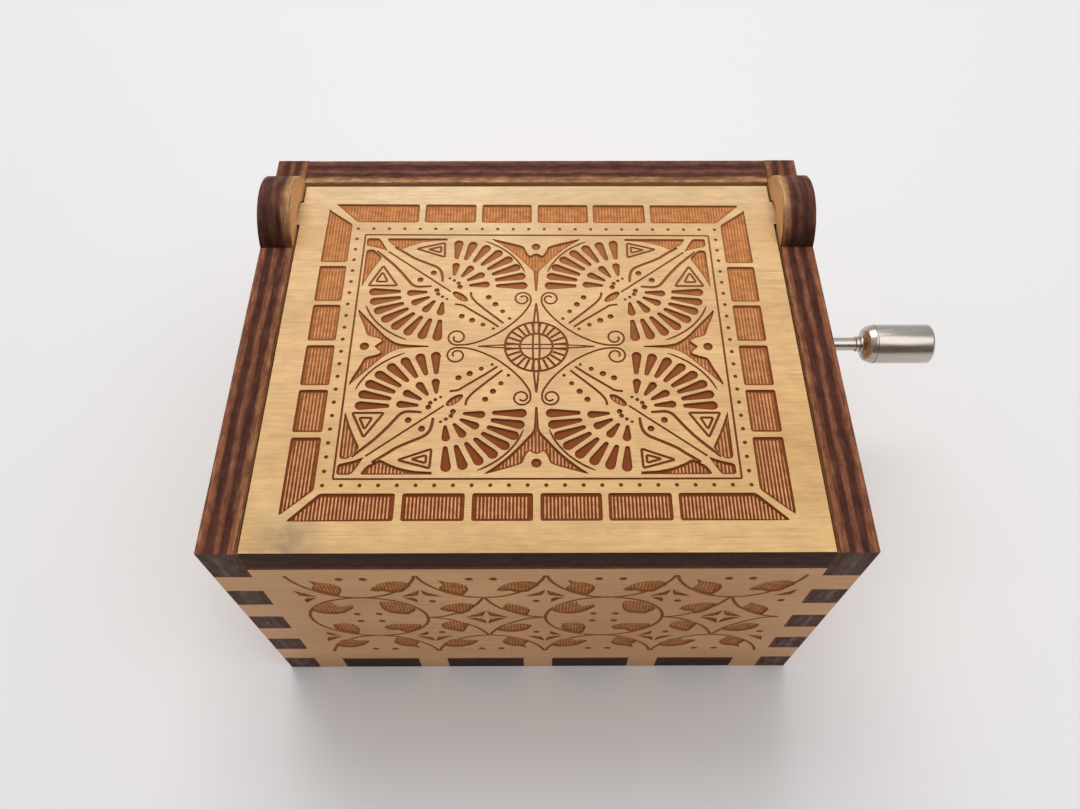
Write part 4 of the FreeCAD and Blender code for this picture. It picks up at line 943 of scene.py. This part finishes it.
cut_panel("lid_board", "lid_panel", (0, 0, HEIGHT), (1, 0, 0), (0, 1, 0), lid_outline,
          marks=askew(border() + moved(field, shift=FIELD_CENTRE)), body="lid", face=lid_face,
          engraved=(lid_floor, lid_burn), char=0.4)


# ---------------------------------------------------------------------------- the crank
# A wire bent twice, nickelled: out through the right wall, back along the arm and out to the knob.
# A ring swaged on the wire and its peened end keep the turned knob in place.

WIRE_RADIUS, WIRE_BEND, ARM_STANDOFF = 0.85, 2.2, 4.5
SWAGE_RADIUS, SWAGE_LENGTH, END_PLAY = 1.0, 0.5, 0.1
RIVET_RADIUS = 1.4


def metal(name, colour, roughness, grain=(1.0, 1.0, 1.0), wear=0.12):
    """A metal finish: its colour and roughness vary a little along fine marks, so many a millimetre."""
    material, tree, shader = new_material(name, roughness, 1.0)
    placed = add(tree, "ShaderNodeMapping", {"Vector": add(tree, "ShaderNodeTexCoord").outputs["Object"],
                                             "Scale": [g / MM for g in grain]}).outputs[0]
    marks = add(tree, "ShaderNodeTexNoise", {"Vector": placed, "Scale": 1.0, "Detail": 4.0}).outputs["Fac"]
    paint(tree, shader, ramp(tree, marks, (0.3, tuple(c * (1 - wear) for c in colour)), (0.7, colour)))
    rough = add(tree, "ShaderNodeMapRange", {
        "Value": marks, "To Min": roughness * 0.75, "To Max": roughness * 1.3})
    tree.links.new(rough.outputs["Result"], shader.inputs["Roughness"])
    bumped(tree, shader, marks, 0.05, 0.01)
    return material


def skin(rings, closed=False):
    """Points and faces over rings of points: closed into a loop of rings, or with both ends capped."""
    rings = np.asarray(rings)
    count, sides = rings.shape[:2]
    here = np.arange((count if closed else count - 1) * sides).reshape(-1, sides)
    onward = (here + sides) % (count * sides)
    quads = np.stack([here, np.roll(here, -1, axis=1), np.roll(onward, -1, axis=1), onward], axis=-1)
    quads = quads.reshape(-1, 4)
    points = rings.reshape(-1, 3)
    if closed:
        return points, quads.tolist()
    around = np.arange(sides)
    last = (count - 1) * sides
    caps = [np.column_stack([np.roll(around, -1), around, np.full(sides, len(points))]),
            np.column_stack([last + around, last + np.roll(around, -1), np.full(sides, len(points) + 1)])]
    points = np.vstack([points, rings[0].mean(axis=0), rings[-1].mean(axis=0)])
    return points, quads.tolist() + np.vstack(caps).tolist()


def turned(profile, axis_y, axis_z, sides=96):
    """Rings of a turned piece: each point of the profile, a place along X and a radius, goes round
    the axis that runs along X through the given Y and Z."""
    profile = np.asarray(profile, float)
    angle = np.linspace(0, 2 * np.pi, sides, endpoint=False)
    along, radius = profile[:, :1], profile[:, 1:]
    return np.stack([along + 0 * angle, axis_y + radius * np.cos(angle),
                     axis_z + radius * np.sin(angle)], axis=-1)


def smooth(made, angle=35):
    """Shade a piece smooth except across edges sharper than the angle."""
    made.data.shade_smooth()
    made.data.set_sharp_from_angle(angle=math.radians(angle))
    return made


nickel = metal("nickel", (0.57, 0.515, 0.46), 0.25, (0.4, 3.0, 3.0))
wire_low, wire_high = (np.array(corner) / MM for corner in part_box("crank_wire"))
knob_low, knob_high = (np.array(corner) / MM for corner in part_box("crank_knob"))
knob_y, knob_z = (knob_low[1:] + knob_high[1:]) / 2
arm_x = LENGTH / 2 + ARM_STANDOFF

turn_out = arc((arm_x - WIRE_BEND, crank_y + WIRE_BEND), (WIRE_BEND, WIRE_BEND), -90, 0, 14)
turn_back = arc((arm_x + WIRE_BEND, knob_y - WIRE_BEND), (WIRE_BEND, WIRE_BEND), 180, 90, 14)
swage_end = knob_low[0] - END_PLAY
swage = [swage_end - SWAGE_LENGTH - 0.05, swage_end - SWAGE_LENGTH + 0.05, swage_end - 0.05, swage_end]
route = np.vstack([[(wire_low[0], crank_y)], turn_out, turn_back, [(x, knob_y) for x in swage],
                   [(wire_high[0] - 0.05, knob_y), (wire_high[0], knob_y)]])
thickness = np.full(len(route), WIRE_RADIUS)
thickness[-5:-3] = SWAGE_RADIUS
thickness[-1] = WIRE_RADIUS - 0.1
way = np.gradient(route, axis=0)
way = way / np.linalg.norm(way, axis=1, keepdims=True)
way[-6:] = (1, 0)
side = np.column_stack([-way[:, 1], way[:, 0]])
angle = np.linspace(0, 2 * np.pi, 48, endpoint=False)
level_part = thickness[:, None] * np.cos(angle)
wire_rings = np.stack([route[:, :1] + side[:, :1] * level_part, route[:, 1:] + side[:, 1:] * level_part,
                       knob_z + thickness[:, None] * np.sin(angle)], axis=-1)
wire = smooth(build_mesh("crank_wire_nickel", *skin(wire_rings), [nickel]))
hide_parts("crank_wire")
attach(wire, "crank")

rivet_low, rivet_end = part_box("knob_rivet")[0].x / MM, wire_high[0] - 0.02
rivet_profile = rounded([(rivet_low, WIRE_RADIUS), (rivet_low, RIVET_RADIUS), (rivet_end, RIVET_RADIUS),
                         (rivet_end, WIRE_RADIUS)], [0.02, 0.05, 0.22, 0.05])
rivet = smooth(build_mesh("peened_end", *skin(turned(rivet_profile, knob_y, knob_z), True), [nickel]))
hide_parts("knob_rivet")
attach(rivet, "crank")

KNOB_RADIUS = (knob_high[2] - knob_low[2]) / 2
KNOB_BORE, KNOB_NOSE, SHOULDER = 0.9, 1.05, 1.55
GROOVE, GROOVE_DEPTH = 0.2, 0.12
RECESS_RADIUS, RECESS_DEPTH = 1.7, 0.9
start, end = knob_low[0], knob_high[0]
groove_radius, groove_end = KNOB_RADIUS - GROOVE_DEPTH, start + SHOULDER + GROOVE
flare = curve([(start, KNOB_NOSE), (start + 0.28, KNOB_NOSE + 0.05), (start + 0.4, 1.5), (start + 0.5, 1.9),
               (start + 0.7, 2.17), (start + 1.05, 2.35), (start + SHOULDER, KNOB_RADIUS - 0.04)], 6)
handle = rounded([
    (start + SHOULDER, groove_radius), (groove_end, groove_radius), (groove_end, KNOB_RADIUS),
    (end, KNOB_RADIUS), (end, RECESS_RADIUS), (end - RECESS_DEPTH, RECESS_RADIUS),
    (end - RECESS_DEPTH, KNOB_BORE), (start, KNOB_BORE)],
    [0.02, 0.03, 0.05, 0.4, 0.08, 0.1, 0.05, 0.05])
knob_profile = np.vstack([flare, handle])
knob = smooth(build_mesh("knob", *skin(turned(knob_profile, knob_y, knob_z), True), [nickel]))
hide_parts("crank_knob")
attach(knob, "knob")


# ---------------------------------------------------------------------------- the movement
# A cast bedplate carries the steel comb, the brass pinned cylinder on its arbor, and the worm shaft
# in two sheet-metal brackets.  The solids have the real shapes, so they only get their finishes.

brass = metal("turned_brass", (0.72, 0.52, 0.23), 0.32, (1.5, 6.0, 1.5))
comb_steel = metal("ground_steel", (0.56, 0.57, 0.59), 0.3, (0.5, 8.0, 0.5))
sheet_steel = metal("zinc_plated_steel", (0.62, 0.62, 0.61), 0.4, (1.0, 1.0, 1.0), 0.2)
shaft_steel = metal("turned_steel", (0.5, 0.51, 0.53), 0.28, (8.0, 1.0, 1.0))
screw_steel = metal("screw_steel", (0.5, 0.5, 0.52), 0.35, (3.0, 3.0, 3.0), 0.25)
zinc = metal("cast_zinc", (0.47, 0.48, 0.49), 0.55, (2.5, 2.5, 2.5), 0.25)
lead = metal("dull_lead", (0.2, 0.21, 0.225), 0.65, (3.0, 3.0, 3.0), 0.3)

nylon, tree, shader = new_material("white_nylon", 0.42)
mottle = add(tree, "ShaderNodeTexNoise", {"Vector": add(tree, "ShaderNodeTexCoord").outputs["Object"],
                                          "Scale": 900.0, "Detail": 3.0}).outputs["Fac"]
paint(tree, shader, ramp(tree, mottle, (0.3, (0.74, 0.72, 0.65)), (0.7, (0.82, 0.80, 0.74))))
shader.inputs["Subsurface Weight"].default_value = 0.15
shader.inputs["Subsurface Radius"].default_value = (0.0006, 0.0005, 0.0004)

finishes = {
    "bedplate": zinc, "left_worm_bracket": sheet_steel, "right_worm_bracket": sheet_steel,
    "arbor_bracket": sheet_steel, "comb": comb_steel, "comb_weights": lead, "pinned_cylinder": brass,
    "front_end_cap": brass, "rear_end_cap": brass, "cylinder_arbor": shaft_steel, "worm_wheel": nylon,
    "worm_shaft": shaft_steel, "bedplate_screws": screw_steel, "comb_screws": screw_steel,
    "bracket_screws": screw_steel,
}
for name, finish in finishes.items():
    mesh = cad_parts[name].data
    mesh.materials.clear()
    mesh.materials.append(finish)
